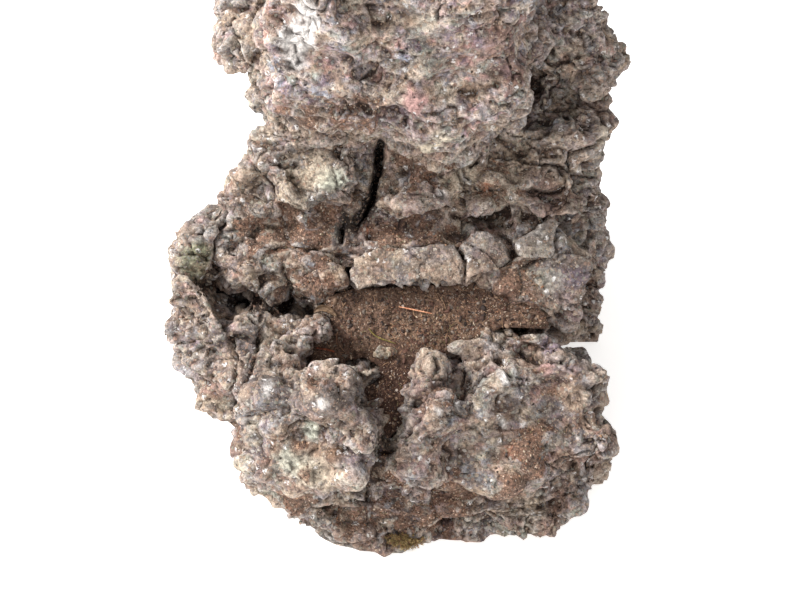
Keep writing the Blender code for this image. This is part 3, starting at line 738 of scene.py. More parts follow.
# %% Marks of this stone
MARK_COLOURS = {
    "white": (238, 232, 228), "cream": (222, 208, 186), "pale": (190, 176, 156), "buff": (184, 160, 142),
    "pale green": (188, 190, 174), "lichen": (134, 146, 108), "pink": (200, 160, 154),
    "rust": (176, 100, 60), "reddish": (132, 98, 88), "purple": (128, 112, 126), "brown": (118, 86, 66),
    "dark": (52, 42, 36), "slate": (86, 80, 81),
}
CLEAN_MARKS = ("white", "pink", "pale green", "cream")
# Every dark mark is painted shade: it darkens hollows, gaps and the rock under overhangs where shade falls.
MARKS = (
    ("dark", -96, 3, -30, 14, 0.9), ("dark", -84, 1, -4, 10, 0.9), ("dark", -76, 2, -6, 10, 0.85),
    ("dark", -70, -5, -6, 9, 0.85), ("dark", -61, -8, -6, 9, 0.85), ("brown", -28, 62, -3, 8, 0.6),
    ("dark", -27, 50, -5, 8, 0.5), ("cream", -50, -86, 40, 15, 0.5), ("cream", -56, -104, 24, 15, 0.4),
    ("slate", 96, 22, 7, 13, 0.35), ("purple", 92, 12, 6, 12, 0.5), ("pale", -60, 66, 8, 10, 0.4),
    ("slate", -65, -46, 36, 11, 0.7), ("slate", -51, -50, 47, 11, 0.7), ("slate", -38, -49, 54, 11, 0.7),
    ("slate", -26, -45, 42, 10, 0.7), ("slate", -84, -20, 22, 10, 0.7), ("slate", -80, -34, 27, 9, 0.7),
    ("slate", -104, -20, 12, 14, 0.5), ("slate", -104, 4, 14, 14, 0.4), ("dark", 0, -48, -14, 12, 0.6),
    ("dark", -20, -54, 12, 9, 0.5), ("slate", -14, -42, 14, 9, 0.5), ("cream", 34, 78, 4, 14, 0.35),
    ("buff", 58, 77, 4, 16, 0.5), ("buff", 82, 80, 4, 14, 0.45), ("dark", 104, 50, -12, 12, 0.7),
    # The two brown marks on the right column darken it where it stands in shade: painted shade in a brown
    # tone, partly the column's own brown.
    ("dark", 98, 36, -20, 11, 0.8), ("brown", 112, 20, -44, 16, 0.5), ("brown", 115, 0, -54, 18, 0.5),
    ("dark", -90, 0, 6, 8, 0.7), ("dark", -78, 2, 4, 8, 0.6), ("dark", -66, -2, 2, 9, 0.7),
    ("dark", -54, -1, 0, 9, 0.7), ("pale", 36, 70, 4, 14, 0.5), ("pale", 60, 66, 5, 16, 0.45),
    ("reddish", 82, 60, 5, 14, 0.5), ("pale", 60, 90, 0, 16, 0.4), ("white", -45, 142, 106, 11, 1.0),
    ("white", -50, 132, 96, 11, 1.0), ("white", -53, 123, 87, 7, 0.9), ("pink", 8, 101, 83, 9, 1.0),
    ("cream", 14, 82, 56, 8, 0.9), ("cream", 22, 85, 67, 7, 0.8), ("pale green", -39, 70, 16, 9, 0.85),
    ("pale", -47, 75, 13, 11, 0.6), ("pale", -60, 66, 12, 13, 0.45), ("lichen", -115, 23, 5, 9, 0.5),
    ("lichen", -110, 30, 4, 5, 0.5), ("reddish", 52, 133, 88, 11, 0.7), ("reddish", 60, 119, 83, 11, 0.7),
    ("reddish", 70, 128, 40, 12, 0.6), ("dark", 92, 120, 8, 9, 0.7), ("dark", 99, 123, 8, 7, 0.6),
    ("cream", 101, 107, -8, 8, 0.6), ("cream", 113, 98, -3, 6, 0.6), ("pale green", -47, -67, 42, 6, 0.9),
    ("pale green", -60, -83, 41, 10, 0.6), ("pale", -48, -89, 39, 9, 0.6), ("pale", -37, -94, 42, 8, 0.5),
    ("brown", -67, -75, 42, 6, 0.7), ("brown", -55, -76, 41, 6, 0.75), ("brown", -44, -77, 41, 6, 0.75),
    ("brown", -34, -79, 42, 6, 0.75), ("pale green", -24, -93, 39, 3.6, 0.9),
    ("pink", 81, -35, 16, 5, 0.7), ("purple", 86, -22, 6, 8, 0.8), ("white", -68, -48, 38, 2.6, 0.9),
    ("white", -41, -49, 54, 2.6, 0.9), ("white", 22, -57, 37, 2.2, 0.9),
    ("white", 34, -55, 26, 3.2, 0.95), ("white", 56, -42, 26, 2.4, 0.9), ("white", 58, -65, 24, 2.6, 1.0),
    ("white", 69, -66, 23, 2.2, 0.9), ("white", 77, 42, 6, 1.9, 0.9), ("white", 80, 43, 5, 1.9, 0.9),
    ("white", 57, 83, 3, 2.0, 0.8), ("white", 22, 64, 8, 2.4, 0.8), ("white", 36, 72, 4, 2.2, 0.9),
    ("rust", 48, 67, 6, 2.4, 0.9), ("rust", 18, 40, 3, 1.7, 0.8), ("rust", -19, 44, -1, 1.7, 0.8),
    ("rust", 75, -72, 22, 5, 0.5), ("rust", 62, -80, 21, 5, 0.45), ("cream", -22, -38, 21, 9, 0.45),
    ("pale", -30, -120, 8, 7, 0.5), ("purple", 100, 17, 5, 7, 0.5), ("pale green", 84, 13, 4, 9, 0.35),
)
print(len(MARKS), "marks in", len(MARK_COLOURS), "colours")

# %% Paint the marks, and the crevices' dirt and painted shade
CREVICE_DIRT_AND_SHADE = linear(44, 32, 26)
clean = np.zeros(len(rest))
for name, x, s, n, radius, strength in MARKS:
    share = inside((x, s, n), radius, ragged) * strength
    tint = mixed(tint, linear(*MARK_COLOURS[name]), share)
    if name in CLEAN_MARKS:
        clean = np.maximum(clean, share)
# Hollows are darkened with the crevice brown: partly soil lodged in them and partly painted shade. The
# joints round the slabs are darkened the same way.
dirt_and_shade = np.clip(fade(fine_hollow, 0.06, 0.36) * 0.8 + fade(broad_hollow, 0.5, 2.3), 0.0, 1.0)
tint = mixed(tint, CREVICE_DIRT_AND_SHADE, np.maximum(dirt_and_shade * 0.9, joint))
# Painted shade deep in the open cracks.
tint = mixed(tint, CREVICE_DIRT_AND_SHADE * 0.3, crack_shade)
print("dirt fills", (100 * (dirt_and_shade > 0.5).mean()).round(1), "per cent")

# %% Keep the skin and its colours in the mesh


def move_to(mesh, points):
    """Puts the mesh's vertices at points in millimetres."""
    mesh.vertices.foreach_set("co", (points * MM).astype(np.float32).ravel())


def store(mesh, name, values):
    """Keeps one number or one colour for each vertex as an attribute that materials can read."""
    if values.ndim == 1:
        mesh.attributes.new(name, "FLOAT", "POINT").data.foreach_set("value", values.astype(np.float32))
        return
    colours = np.ones((len(values), 4), np.float32)
    colours[:, :3] = values
    mesh.attributes.new(name, "FLOAT_COLOR", "POINT").data.foreach_set("color", colours.ravel())


move_to(stone.data, skin)
store(stone.data, "tint", tint)
store(stone.data, "dust", dust * (1.0 - 0.75 * dirt_and_shade))
store(stone.data, "clean", clean)
print("the mesh keeps", [item.name for item in stone.data.attributes if not item.is_internal])

# %% [markdown]
# ## Fewer faces where they are seen less
#
# The even net has far more faces than the stone needs. The Decimate modifier joins vertices where that
# changes the shape least, and a vertex group tells it to take more of them from the back. Carving can
# also cut a crumb free of the rock, and such a crumb would hang in the air, so each vertex first learns
# the lowest vertex number of its own connected part, and the small parts are deleted.

# %% Crumbs that hang loose
SMALLEST_PART = 500
part = np.arange(len(skin))
settled = False
while not settled:
    lower = part.copy()
    least = np.minimum(part[pairs[:, 0]], part[pairs[:, 1]])
    np.minimum.at(lower, pairs[:, 0], least)
    np.minimum.at(lower, pairs[:, 1], least)
    lower = lower[lower]
    settled = np.array_equal(lower, part)
    part = lower
loose = np.bincount(part, minlength=len(part))[part] < SMALLEST_PART
print(loose.sum(), "vertices in crumbs that hang loose")

# %% Thin the net
SKIN_FACES = 194000
GROUP_STEPS = 8
BACK_FACTOR = 1e-4
faces_now = 2 * len(stone.data.polygons)
# The weight goes from a fifth at the front to one at the back and the underside.
seen_less = fade(normals @ OUTWARD + 0.35 * normals[:, 0] ** 2, 0.25, -0.35)
group = stone.vertex_groups.new(name="seen_less")
for step in range(GROUP_STEPS + 1):
    members = np.flatnonzero(np.round(seen_less * GROUP_STEPS) == step)
    group.add(members.tolist(), 0.2 + 0.8 * step / GROUP_STEPS, "REPLACE")
thin = stone.modifiers.new("thin", "DECIMATE")
thin.ratio = SKIN_FACES / faces_now
thin.use_collapse_triangulate = True
thin.vertex_group = group.name
thin.vertex_group_factor = BACK_FACTOR
if loose.any():
    bm = bmesh.new()
    bm.from_mesh(stone.data)
    bm.verts.ensure_lookup_table()
    bmesh.ops.delete(bm, geom=[bm.verts[index] for index in np.flatnonzero(loose)], context="VERTS")
    bm.to_mesh(stone.data)
    bm.free()
applied(stone)
stone.vertex_groups.clear()
stone.data.shade_smooth()
polygon_normals = np.empty(len(stone.data.polygons) * 3, np.float32)
stone.data.polygon_normals.foreach_get("vector", polygon_normals)
facing = polygon_normals.reshape(-1, 3) @ OUTWARD > 0.1
print("skin", len(facing), "triangles,", facing.sum(), "of them on the face")

# %% [markdown]
# ## The finish of the stone
#
# The tint at the vertices is as coarse as the net. The finer speckle of the rock, the white glints and
# the sandy grain of the dust come from the material, worked out in millimetres from the object's own
# coordinates. It could be one group of nodes made by hand in the shader editor, but helpers in the
# script say the same in fewer words: one makes a node and fills its sockets, and the others wrap the
# kinds that are used again and again. A socket knows its own tree, so most helpers need only a socket.

# %% A new finish


def wire(tree, kind, inputs=(), **settings):
    """A new shader node. settings are its own choices, and inputs gives each socket, by name or number, a
    value or the output of another node."""
    node = tree.nodes.new("ShaderNode" + kind)
    for key, value in settings.items():
        setattr(node, key, value)
    for key, value in dict(inputs).items():
        if isinstance(value, bpy.types.NodeSocket):
            tree.links.new(value, node.inputs[key])
        else:
            node.inputs[key].default_value = value
    return node


def scaled(colour, factor):
    """A colour or a place times one number."""
    return wire(colour.id_data, "VectorMath", {0: colour, "Scale": factor}, operation="SCALE").outputs[0]


def new_finish(name, roughness, specular):
    """A material with its tree, its principled shader, and the object's coordinates in millimetres."""
    material = bpy.data.materials.new(name)
    material.use_nodes = True
    tree = material.node_tree
    shader = tree.nodes["Principled BSDF"]
    shader.inputs["Roughness"].default_value = roughness
    shader.inputs["Specular IOR Level"].default_value = specular
    return material, tree, shader, scaled(wire(tree, "TexCoord").outputs["Object"], 1.0 / MM)


rock, tree, shader, place = new_finish("weathered_breccia", 0.88, 0.35)
print("a new finish has", len(tree.nodes), "nodes")

# %% The mottled ground


def painted(tree, name, output="Fac"):
    """What the mesh keeps at each vertex under that name: a number, or with output Color a colour."""
    return wire(tree, "Attribute", attribute_name=name).outputs[output]


def clouds(place, size, detail=3.0):
    """Fractal noise of that size in millimetres, from about 0 to 1."""
    inputs = {"Vector": place, "Scale": 1.0 / size, "Detail": detail, "Roughness": 0.6}
    return wire(place.id_data, "TexNoise", inputs).outputs["Fac"]


def between(value, low, high, bottom=0.0, top=1.0):
    """bottom up to low, top from high on, and a smooth step between."""
    inputs = {"Value": value, "From Min": low, "From Max": high, "To Min": bottom, "To Max": top}
    return wire(value.id_data, "MapRange", inputs, interpolation_type="SMOOTHSTEP").outputs["Result"]


wobble = wire(tree, "TexNoise", {"Vector": place, "Scale": 0.45, "Detail": 2.0}).outputs["Color"]
bend = {0: wobble, 1: (1.8, 1.8, 1.8), 2: place}
crooked = wire(tree, "VectorMath", bend, operation="MULTIPLY_ADD").outputs[0]
mottle = between(clouds(crooked, 2.6, 5.0), 0.32, 0.68, 0.52, 1.42)
base = scaled(painted(tree, "tint", "Color"), mottle)
print("with its ground it has", len(tree.nodes))

# %% [markdown]
# ## Chips, grains, glints and holes
#
# Looked at closely, the ground of the rock holds chips about two millimetres wide, sandy grains, small
# bright crystals that stand in groups, and round holes where a grain fell out. The crystals' white is
# partly their own pale tone and partly a painted highlight, and the holes are painted dark as shade. One
# noise texture would give only clouds. A Voronoi texture gives each cell a distance from its centre,
# which makes a shape, and random numbers, which choose whether the cell shows and in which tone. The
# place is the one that was bent a little, so that no cell edge is straight.

# %% Chips
CHIP_TONES = (
    (0.0, (70, 62, 60)), (0.18, (120, 108, 112)), (0.36, (150, 152, 150)), (0.52, (196, 178, 156)),
    (0.68, (168, 132, 116)), (0.82, (134, 138, 122)), (1.0, (214, 206, 196)),
)


def maths(operation, first, second, third=0.0):
    """One arithmetic step on sockets and numbers, the first of them a socket."""
    return wire(first.id_data, "Math", {0: first, 1: second, 2: third}, operation=operation).outputs[0]


def times(first, second):
    """The product of two numbers, the first of them a socket."""
    return maths("MULTIPLY", first, second)


def cells(place, size):
    """Cell noise of that size in millimetres: the distance to the nearest centre, and two random
    numbers."""
    node = wire(place.id_data, "TexVoronoi", {"Vector": place, "Scale": 1.0 / size})
    parts = wire(place.id_data, "SeparateColor", {0: node.outputs["Color"]})
    return node.outputs["Distance"], parts.outputs[0], parts.outputs[1]


def solid(colour):
    """A linear colour with its alpha, as a socket takes it. A socket is passed through."""
    if isinstance(colour, bpy.types.NodeSocket):
        return colour
    return (*(float(c) for c in colour), 1.0)


def overlay(share, below, above):
    """Two colours mixed by a share, which is a socket. Each colour may be a socket or a plain linear
    colour."""
    inputs = {0: share, 6: solid(below), 7: solid(above)}
    return wire(share.id_data, "Mix", inputs, data_type="RGBA").outputs[2]


def ramp(value, stops):
    """A colour for each number: stops are positions from 0 to 1 and screen colours."""
    node = wire(value.id_data, "ValToRGB", {0: value})
    elements = node.color_ramp.elements
    while len(elements) < len(stops):
        elements.new(0.5)
    for element, (position, colour) in zip(elements, stops):
        element.position = position
        element.color = solid(linear(*colour))
    return node.outputs[0]


clean_mark = painted(tree, "clean")
far, chance, hue = cells(crooked, 2.3)
chip = times(between(chance, 0.46, 0.5), between(far, 0.54, 0.42))
chip_share = times(chip, between(clean_mark, 0.1, 0.7, 0.6, 0.08))
base = overlay(chip_share, base, ramp(hue, CHIP_TONES))
print("with chips", len(tree.nodes))

# %% Sandy grains
GRAIN_STOPS = (
    (0.0, (36, 28, 24)), (0.3, (76, 58, 49)), (0.6, (126, 98, 80)), (0.85, (188, 154, 126)),
    (1.0, (234, 218, 200)),
)
grain_far, grain_chance, grain_hue = cells(place, 0.8)
grain_colour = ramp(grain_hue, GRAIN_STOPS)
grain_share = times(between(grain_chance, 0.6, 0.9, 0.0, 0.5), between(clean_mark, 0.1, 0.8, 1.0, 0.2))
base = overlay(grain_share, base, grain_colour)
print("with grains", len(tree.nodes))

# %% Glints and holes
GLINT_WHITE = linear(236, 232, 230)
glint_far, glint_chance, _ = cells(crooked, 4.0)
glint_zone = between(clouds(place, 14.0, 1.0), 0.4, 0.62, 0.975, 0.8)
glint = times(maths("GREATER_THAN", glint_chance, glint_zone), between(glint_far, 0.5, 0.24, 0.0, 0.95))
glint = times(glint, between(clouds(crooked, 1.3), 0.46, 0.54))
# The glints' white is painted into the base colour: partly the crystals' own pale tone and partly a painted
# highlight.
base = overlay(glint, base, GLINT_WHITE)

hole_far, hole_chance, _ = cells(crooked, 4.2)
hole = times(between(hole_chance, 0.78, 0.8), between(hole_far, 0.2, 0.1))
# The holes are painted dark: painted shade in them.
base = overlay(times(hole, 0.85), base, CREVICE_DIRT_AND_SHADE)
tree.links.new(between(glint, 0.0, 1.0, 0.88, 0.35), shader.inputs["Roughness"])
print("with glints and holes", len(tree.nodes))

# %% Dust over the rock
DUST_BROWN, DARKER_DUST = tones((130, 98, 81), (104, 82, 70))
dust_tone = overlay(between(clouds(place, 7.0), 0.35, 0.65), DUST_BROWN, DARKER_DUST)
dust_tone = overlay(between(grain_chance, 0.5, 0.85, 0.0, 0.65), dust_tone, grain_colour)
dust_tone = scaled(dust_tone, between(clouds(crooked, 1.7, 7.0), 0.34, 0.66, 0.42, 1.6))
ragged_edge = maths("MULTIPLY_ADD", clouds(place, 3.0), 0.7, -0.35)
dust_share = between(maths("ADD", painted(tree, "dust"), ragged_edge), 0.3, 0.62, 0.0, 0.9)
base = overlay(dust_share, base, dust_tone)
print("with dust", len(tree.nodes))

# %% Relief of the finish


def dress(shader, colour, relief, depth):
    """Links the colour to the shader, with bump from a relief of 0 to 1 that stands for depth
    millimetres."""
    tree = shader.id_data
    bump = wire(tree, "Bump", {"Height": relief, "Distance": depth * MM, "Strength": 1.0})
    tree.links.new(colour, shader.inputs["Base Color"])
    tree.links.new(bump.outputs[0], shader.inputs["Normal"])


_, flake_level, _ = cells(crooked, 1.5)
_, plate_level, _ = cells(crooked, 4.6)
relief = maths("MULTIPLY_ADD", clouds(crooked, 2.2, 6.0), 1.5, times(chip, 0.3))
relief = maths("ADD", relief, times(flake_level, 0.36))
relief = maths("ADD", relief, times(plate_level, 0.5))
relief = maths("SUBTRACT", relief, times(grain_far, 0.4))
relief = maths("SUBTRACT", relief, hole)
dress(shader, base, relief, 0.95)
print("with its relief, the finish of the stone has", len(tree.nodes), "nodes")

# %% Hand the stone over


def hand_over(piece, material, node=None):
    """Gives a finished piece its material and its slot, lets it ride on the stone's one body, and hides
    the construction node that it stands for, if there is one."""
    piece.data.materials.append(material)
    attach(piece, "root")
    if node:
        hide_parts(node)


hand_over(stone, rock, "stone")
print(stone.name, "stands for the construction node stone")

# %% [markdown]
# ## The soil in the basin
#
# Years of needles, dust and crumbled rock have filled the basin with dry, gritty soil. Its bed is made
# as the skin is: the solid becomes an even net, and its top is raised into swells and clods. The soil
# has to meet the rock without a gap, so the rim of the bed is also pushed a little way under the rock.
# Round the litter the bed stays flat, so that no clod buries a needle.

# %% The bed of soil
LITTER_NODES = ("needle_light", "needle_olive", "twig", "dry_leaf", "pebble")
BED_PITCH = 0.85
EVERY_FIFTH = 5
CLODS = ((7.0, 0.3, 1.3, 102), (3.6, 0.45, 0.8, 103), (2.1, 0.6, 0.5, 104))
LOOSE_TOP = 0.2
CLOD_MEAN = 0.35
UNDER_ROCK = 1.3


def nearest(points, targets):
    """The distance from each point to the nearest target: the least over all targets."""
    least = np.full(len(points), 1e9)
    for target in targets:
        least = np.minimum(least, ((points - target) ** 2).sum(1))
    return np.sqrt(least)


soil = even_net("soil", "soil_bed", BED_PITCH, 5)
bed, bed_normals, bed_pairs = read(soil.data, 2)
bed_x, bed_s, _ = to_slope(bed)
litter = np.concatenate([corners_of(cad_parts[name].data)[::EVERY_FIFTH] for name in LITTER_NODES])
open_ground = fade(nearest(bed, litter), 1.2, 4.0)
upper = fade(bed_normals @ OUTWARD, 0.25, 0.7)
rise = 0.75 * layered_noise(bed, 13.0, 3, 101)
for size, share, top, seed in CLODS:
    first, _, tag = cell_noise(bed, size, seed, (1.2, 1.0, 0.8))
    dome = np.sqrt(np.clip(1.0 - (first / 0.55) ** 2, 0.0, 1.0))
    rise += top * (tag[:, 1] < share) * dome * (0.4 + tag[:, 2])
rise = (LOOSE_TOP + rise - CLOD_MEAN) * (0.15 + 0.85 * open_ground) * upper + UNDER_ROCK * (1.0 - upper)
bed = bed + bed_normals * rise[:, None]
move_to(soil.data, bed)
print("bed of", len(bed), "vertices")

# %% Tints of the soil
BROWN_SOIL, SANDY_SOIL, DEEP_SOIL = tones((100, 80, 68), (128, 104, 86), (52, 35, 30))
SANDY_X, SANDY_S = 22, -14
SANDY_REACH = (34, 13)
BED_FACES = 110000
bed_tint = mixed(BROWN_SOIL, DEEP_SOIL, fade(layered_noise(bed, 16.0, 3, 111), 0.1, 0.8) * 0.6)
sandy_way = np.hypot((bed_x - SANDY_X) / SANDY_REACH[0], (bed_s - SANDY_S) / SANDY_REACH[1])
sandy = fade(sandy_way + 0.3 * smooth_noise(bed, 6.0, 112), 1.1, 0.5)
bed_tint = mixed(bed_tint, SANDY_SOIL, sandy * 0.7)
# Towards the gully the soil is painted darker: partly its own darker, redder earth and partly painted shade
# in the narrow groove.
gully = fade(bed_s + 3.0 * smooth_noise(bed, 7.0, 113), -20.0, -38.0)
bed_tint = mixed(bed_tint, DEEP_SOIL, gully * 0.92)
# The low places between the clods take the crevice brown as painted shade.
low = fade(spread(rise, bed_pairs, 8) - rise, 0.05, 0.7)
bed_tint = mixed(bed_tint, CREVICE_DIRT_AND_SHADE, low * 0.7)
store(soil.data, "tint", bed_tint)
bed_faces = 2 * len(soil.data.polygons)
if bed_faces > BED_FACES:
    thin = soil.modifiers.new("thin", "DECIMATE")
    thin.ratio = BED_FACES / bed_faces
    applied(soil)
soil.data.shade_smooth()
print("bed", len(soil.data.polygons), "faces")

# %% Finish of the soil
EARTH_STOPS = (
    (0.0, (34, 24, 20)), (0.35, (72, 54, 45)), (0.65, (112, 86, 70)), (0.85, (150, 116, 92)),
    (0.95, (186, 156, 130)), (1.0, (228, 216, 204)),
)
earth, tree, shader, place = new_finish("gritty_earth", 0.95, 0.2)
base = scaled(painted(tree, "tint", "Color"), between(clouds(place, 2.2, 5.0), 0.3, 0.7, 0.6, 1.75))
grain_far, grain_chance, grain_hue = cells(place, 0.65)
base = overlay(between(grain_chance, 0.5, 0.85, 0.0, 0.6), base, ramp(grain_hue, EARTH_STOPS))
crumb_far, crumb_chance, crumb_hue = cells(place, 1.9)
crumb = times(between(crumb_chance, 0.7, 0.74), between(crumb_far, 0.5, 0.35))
base = overlay(times(crumb, 0.6), base, ramp(crumb_hue, EARTH_STOPS))
relief = maths("SUBTRACT", clouds(place, 1.4, 5.0), times(grain_far, 0.7))
dress(shader, base, relief, 0.6)
hand_over(soil, earth, "soil")
print("finish of the soil has", len(tree.nodes), "nodes")

# %% [markdown]
# ## Loose grains
#
# On the bed and on the dusty ledges lie loose grains from a third of a millimetre to over one across,
# and thin flakes of up to three. A particle system could scatter them, but its instances would have to
# be made real again. Here each grain is an icosahedron that is stretched, dented and turned at random,
# and thousands of them are worked out in one array.

# %% A mesh from arrays, and the ball of a grain


def new_piece(name, points, faces):
    """An object from points in millimetres and triangles, both arrays, put in without a loop."""
    mesh = bpy.data.meshes.new(name)
    mesh.vertices.add(len(points))
    move_to(mesh, points)
    mesh.loops.add(faces.size)
    mesh.loops.foreach_set("vertex_index", faces.astype(np.int32).ravel())
    mesh.polygons.add(len(faces))
    mesh.polygons.foreach_set("loop_start", np.arange(0, faces.size, 3, dtype=np.int32))
    mesh.update(calc_edges=True)
    obj = bpy.data.objects.new(name, mesh)
    bpy.context.scene.collection.objects.link(obj)
    return obj


def copies(faces, count, corners):
    """The faces of count equal shapes, each of that many corners, that lie one after another in one
    array."""
    return (faces[None] + (np.arange(count) * corners)[:, None, None]).reshape(-1, 3)


GOLDEN = (1.0 + 5.0**0.5) / 2.0
BALL_CORNERS = (
    (-1, GOLDEN, 0), (1, GOLDEN, 0), (-1, -GOLDEN, 0), (1, -GOLDEN, 0),
    (0, -1, GOLDEN), (0, 1, GOLDEN), (0, -1, -GOLDEN), (0, 1, -GOLDEN),
    (GOLDEN, 0, -1), (GOLDEN, 0, 1), (-GOLDEN, 0, -1), (-GOLDEN, 0, 1),
)
BALL = unit(np.array(BALL_CORNERS))
BALL_FACES = np.array((
    (0, 11, 5), (0, 5, 1), (0, 1, 7), (0, 7, 10), (0, 10, 11), (1, 5, 9), (5, 11, 4), (11, 10, 2),
    (10, 7, 6), (7, 1, 8), (3, 9, 4), (3, 4, 2), (3, 2, 6), (3, 6, 8), (3, 8, 9), (4, 9, 5),
    (2, 4, 11), (6, 2, 10), (8, 6, 7), (9, 8, 1),
))
print("a grain has", len(BALL_FACES), "triangles")

# %% Turn grains


def turned_anyhow(count, rng):
    """Random rotation matrices, from unit quaternions."""
    w, x, y, z = unit(rng.normal(size=(count, 4))).T
    rows = (
        (1 - 2 * (y * y + z * z), 2 * (x * y - z * w), 2 * (x * z + y * w)),
        (2 * (x * y + z * w), 1 - 2 * (x * x + z * z), 2 * (y * z - x * w)),
        (2 * (x * z - y * w), 2 * (y * z + x * w), 1 - 2 * (x * x + y * y)),
    )
    return np.stack([np.stack(row, -1) for row in rows], -2)


def lying_flat(count, rng, lean):
    """Rotation matrices that lay a thing's z axis along the slope's outward way, up to a random lean:
    their columns are two sides at right angles and the leaning axis."""
    axis = unit(OUTWARD + lean * rng.normal(size=(count, 3)))
    side = unit(np.cross(axis, rng.normal(size=(count, 3))))
    return np.stack((side, np.cross(axis, side), axis), -1)


print("one flat turn:", lying_flat(1, np.random.default_rng(1), 0.0).round(2).tolist())

# %% Scatter grains


def toned(palette, darkest, count, rng):
    """A tone of the palette for each of count things, from darkest to 1.2 times as bright."""
    return palette[rng.integers(0, len(palette), count)] * rng.uniform(darkest, 1.2, (count, 1))


def scatter(name, count, seed, ground, away, chance, sizes, lift, palette, darkest, form, lean=None):
    """Grains on a ground of points, each point chosen by its chance. sizes gives least, more and power,
    for a size of least + more * random^power, and lift gives rest and share, for a height of rest + share
    * size along away. A grain is the ball with its corners moved in or out by up to three tenths, times a
    random stretch along each axis and the form, turned, and set down. With a lean it lies nearly flat."""
    rng = np.random.default_rng(seed)
    chosen = rng.choice(len(ground), count, replace=False, p=chance / chance.sum())
    least, more, power = sizes
    size = least + more * rng.random(count) ** power
    places = ground[chosen] + away[chosen] * (lift[0] + lift[1] * size)[:, None]
    colours = toned(palette, darkest, count, rng)
    turn = turned_anyhow(count, rng) if lean is None else lying_flat(count, rng, lean)
    dents = 1.0 + rng.uniform(-0.3, 0.3, (count, len(BALL), 1))
    stretch = rng.uniform(0.5, 1.5, (count, 1, 3)) * np.array(form)
    grains = BALL * dents * stretch * (0.5 * size)[:, None, None]
    grains = np.einsum("nij,nkj->nki", turn, grains) + places[:, None]
    piece = new_piece(name, grains.reshape(-1, 3), copies(BALL_FACES, count, len(BALL)))
    store(piece.data, "tint", np.repeat(colours, len(BALL), axis=0))
    hand_over(piece, grit)
    print(name, "has", len(piece.data.polygons), "triangles")


three_tones = toned(np.ones((1, 1)), 0.8, 3, np.random.default_rng(1))
print("three grains of one tone come out at", three_tones.ravel().round(2))

# %% Finish of the loose grit


def tinted_finish(name, roughness, specular, speck, relief, depth):
    """A finish that takes its colour from the mesh, with specks and bump: speck gives their size and how
    dark and how bright they are, relief gives the bump's size and detail."""
    material, tree, shader, place = new_finish(name, roughness, specular)
    size, dark, bright = speck
    colour = scaled(painted(tree, "tint", "Color"), between(clouds(place, size), 0.3, 0.7, dark, bright))
    dress(shader, colour, clouds(place, *relief), depth)
    return material


grit = tinted_finish("loose_grit", 0.8, 0.4, (0.5, 0.7, 1.3), (0.35, 3.0), 0.12)
print("finish of the grit has", len(grit.node_tree.nodes), "nodes")

# %% Grains and flakes on the soil
SOIL_GRAINS = 3800
SOIL_FLAKES = 1400
GRAIN_TONES = tones(
    (168, 134, 106), (140, 102, 78), (112, 82, 66), (88, 66, 56), (60, 46, 40), (76, 56, 48),
    (130, 116, 106), (196, 178, 156), (112, 76, 60), (100, 88, 82), (112, 100, 76),
)
FLAKE_TONES = tones(
    (78, 58, 49), (58, 43, 37), (104, 80, 66), (88, 60, 49), (142, 116, 96), (46, 35, 31), (118, 106, 96),
)
out_of_bed = np.broadcast_to(OUTWARD, bed.shape)
bed_chance = upper * (0.02 + 0.98 * open_ground) * (0.5 + sandy) * (1.0 - 0.7 * gully)
scatter(
    "soil_grains", SOIL_GRAINS, seed=5, ground=bed, away=out_of_bed, chance=bed_chance,
    sizes=(0.35, 0.9, 5), lift=(0.0, 0.12), palette=GRAIN_TONES, darkest=0.8,
    form=(2.0, 0.6, 0.5), lean=0.35,
)
scatter(
    "soil_flakes", SOIL_FLAKES, seed=9, ground=bed, away=out_of_bed, chance=bed_chance,
    sizes=(0.6, 2.4, 4), lift=(0.1, 0.06), palette=FLAKE_TONES, darkest=0.75,
    form=(1.4, 0.8, 0.22), lean=0.4,
)

# %% Grains on the ledges
LEDGE_GRAINS = 4200
LEDGE_WAY = np.array((0, -0.35, 0.94))
ledge_chance = np.clip(dust - 0.3, 0.0, 1.0) * fade(normals @ LEDGE_WAY, 0.2, 0.8) * (dirt_and_shade < 0.6)
scatter(
    "ledge_grains", LEDGE_GRAINS, seed=6, ground=skin, away=normals, chance=ledge_chance,
    sizes=(0.3, 1.1, 4), lift=(0.0, 0.08), palette=GRAIN_TONES, darkest=0.8, form=(1.3, 0.8, 0.8),
)

# %% [markdown]
# ## Fibres and litter
#
# Old needles break into fibres that lie every way in the soil. A fibre is a tube along a bent path.
# Curves with a bevel would do for one, but hundreds are quicker as one array: rings of points round all
# the paths at once, joined by triangles, with a cap at each end.

# %% Tubes


def squares(a, b, c, d):
    """Two triangles for each square with those four corners, all given as arrays of point numbers."""
    return np.concatenate([np.stack(corners, -1).reshape(-1, 3) for corners in ((a, b, c), (a, c, d))])


def tubes(paths, radii, sides):
    """Points and triangles of closed tubes. paths is tubes x rings x 3, radii is tubes x rings. Each ring
    lies round its path at centre + r cos(a) side + r sin(a) up, with side at a right angle to the path
    and the slope."""
    count, rings, _ = paths.shape
    along = unit(np.gradient(paths, axis=1))
    side = unit(np.cross(along, OUTWARD))
    up = np.cross(side, along)
    angles = np.arange(sides) * 2.0 * np.pi / sides
    ring = np.cos(angles)[:, None] * side[:, :, None] + np.sin(angles)[:, None] * up[:, :, None]
    points = paths[:, :, None] + ring * radii[:, :, None, None]
    number = np.arange(rings * sides).reshape(rings, sides)
    onward = np.roll(number, -1, 1)
    fan = np.arange(1, sides - 1)
    start = np.stack((np.zeros_like(fan), fan + 1, fan), -1)
    finish = np.stack((np.zeros_like(fan), fan, fan + 1), -1) + (rings - 1) * sides
    faces = np.concatenate((squares(number[:-1], onward[:-1], onward[1:], number[1:]), start, finish))
    return points.reshape(-1, 3), copies(faces, count, rings * sides)


short_path = np.array([[(0.0, 0.0, 0.0), (1.0, 0.0, 0.0)]])
print("a tube of two rings and four sides has", len(tubes(short_path, np.ones((1, 2)), 4)[1]), "triangles")

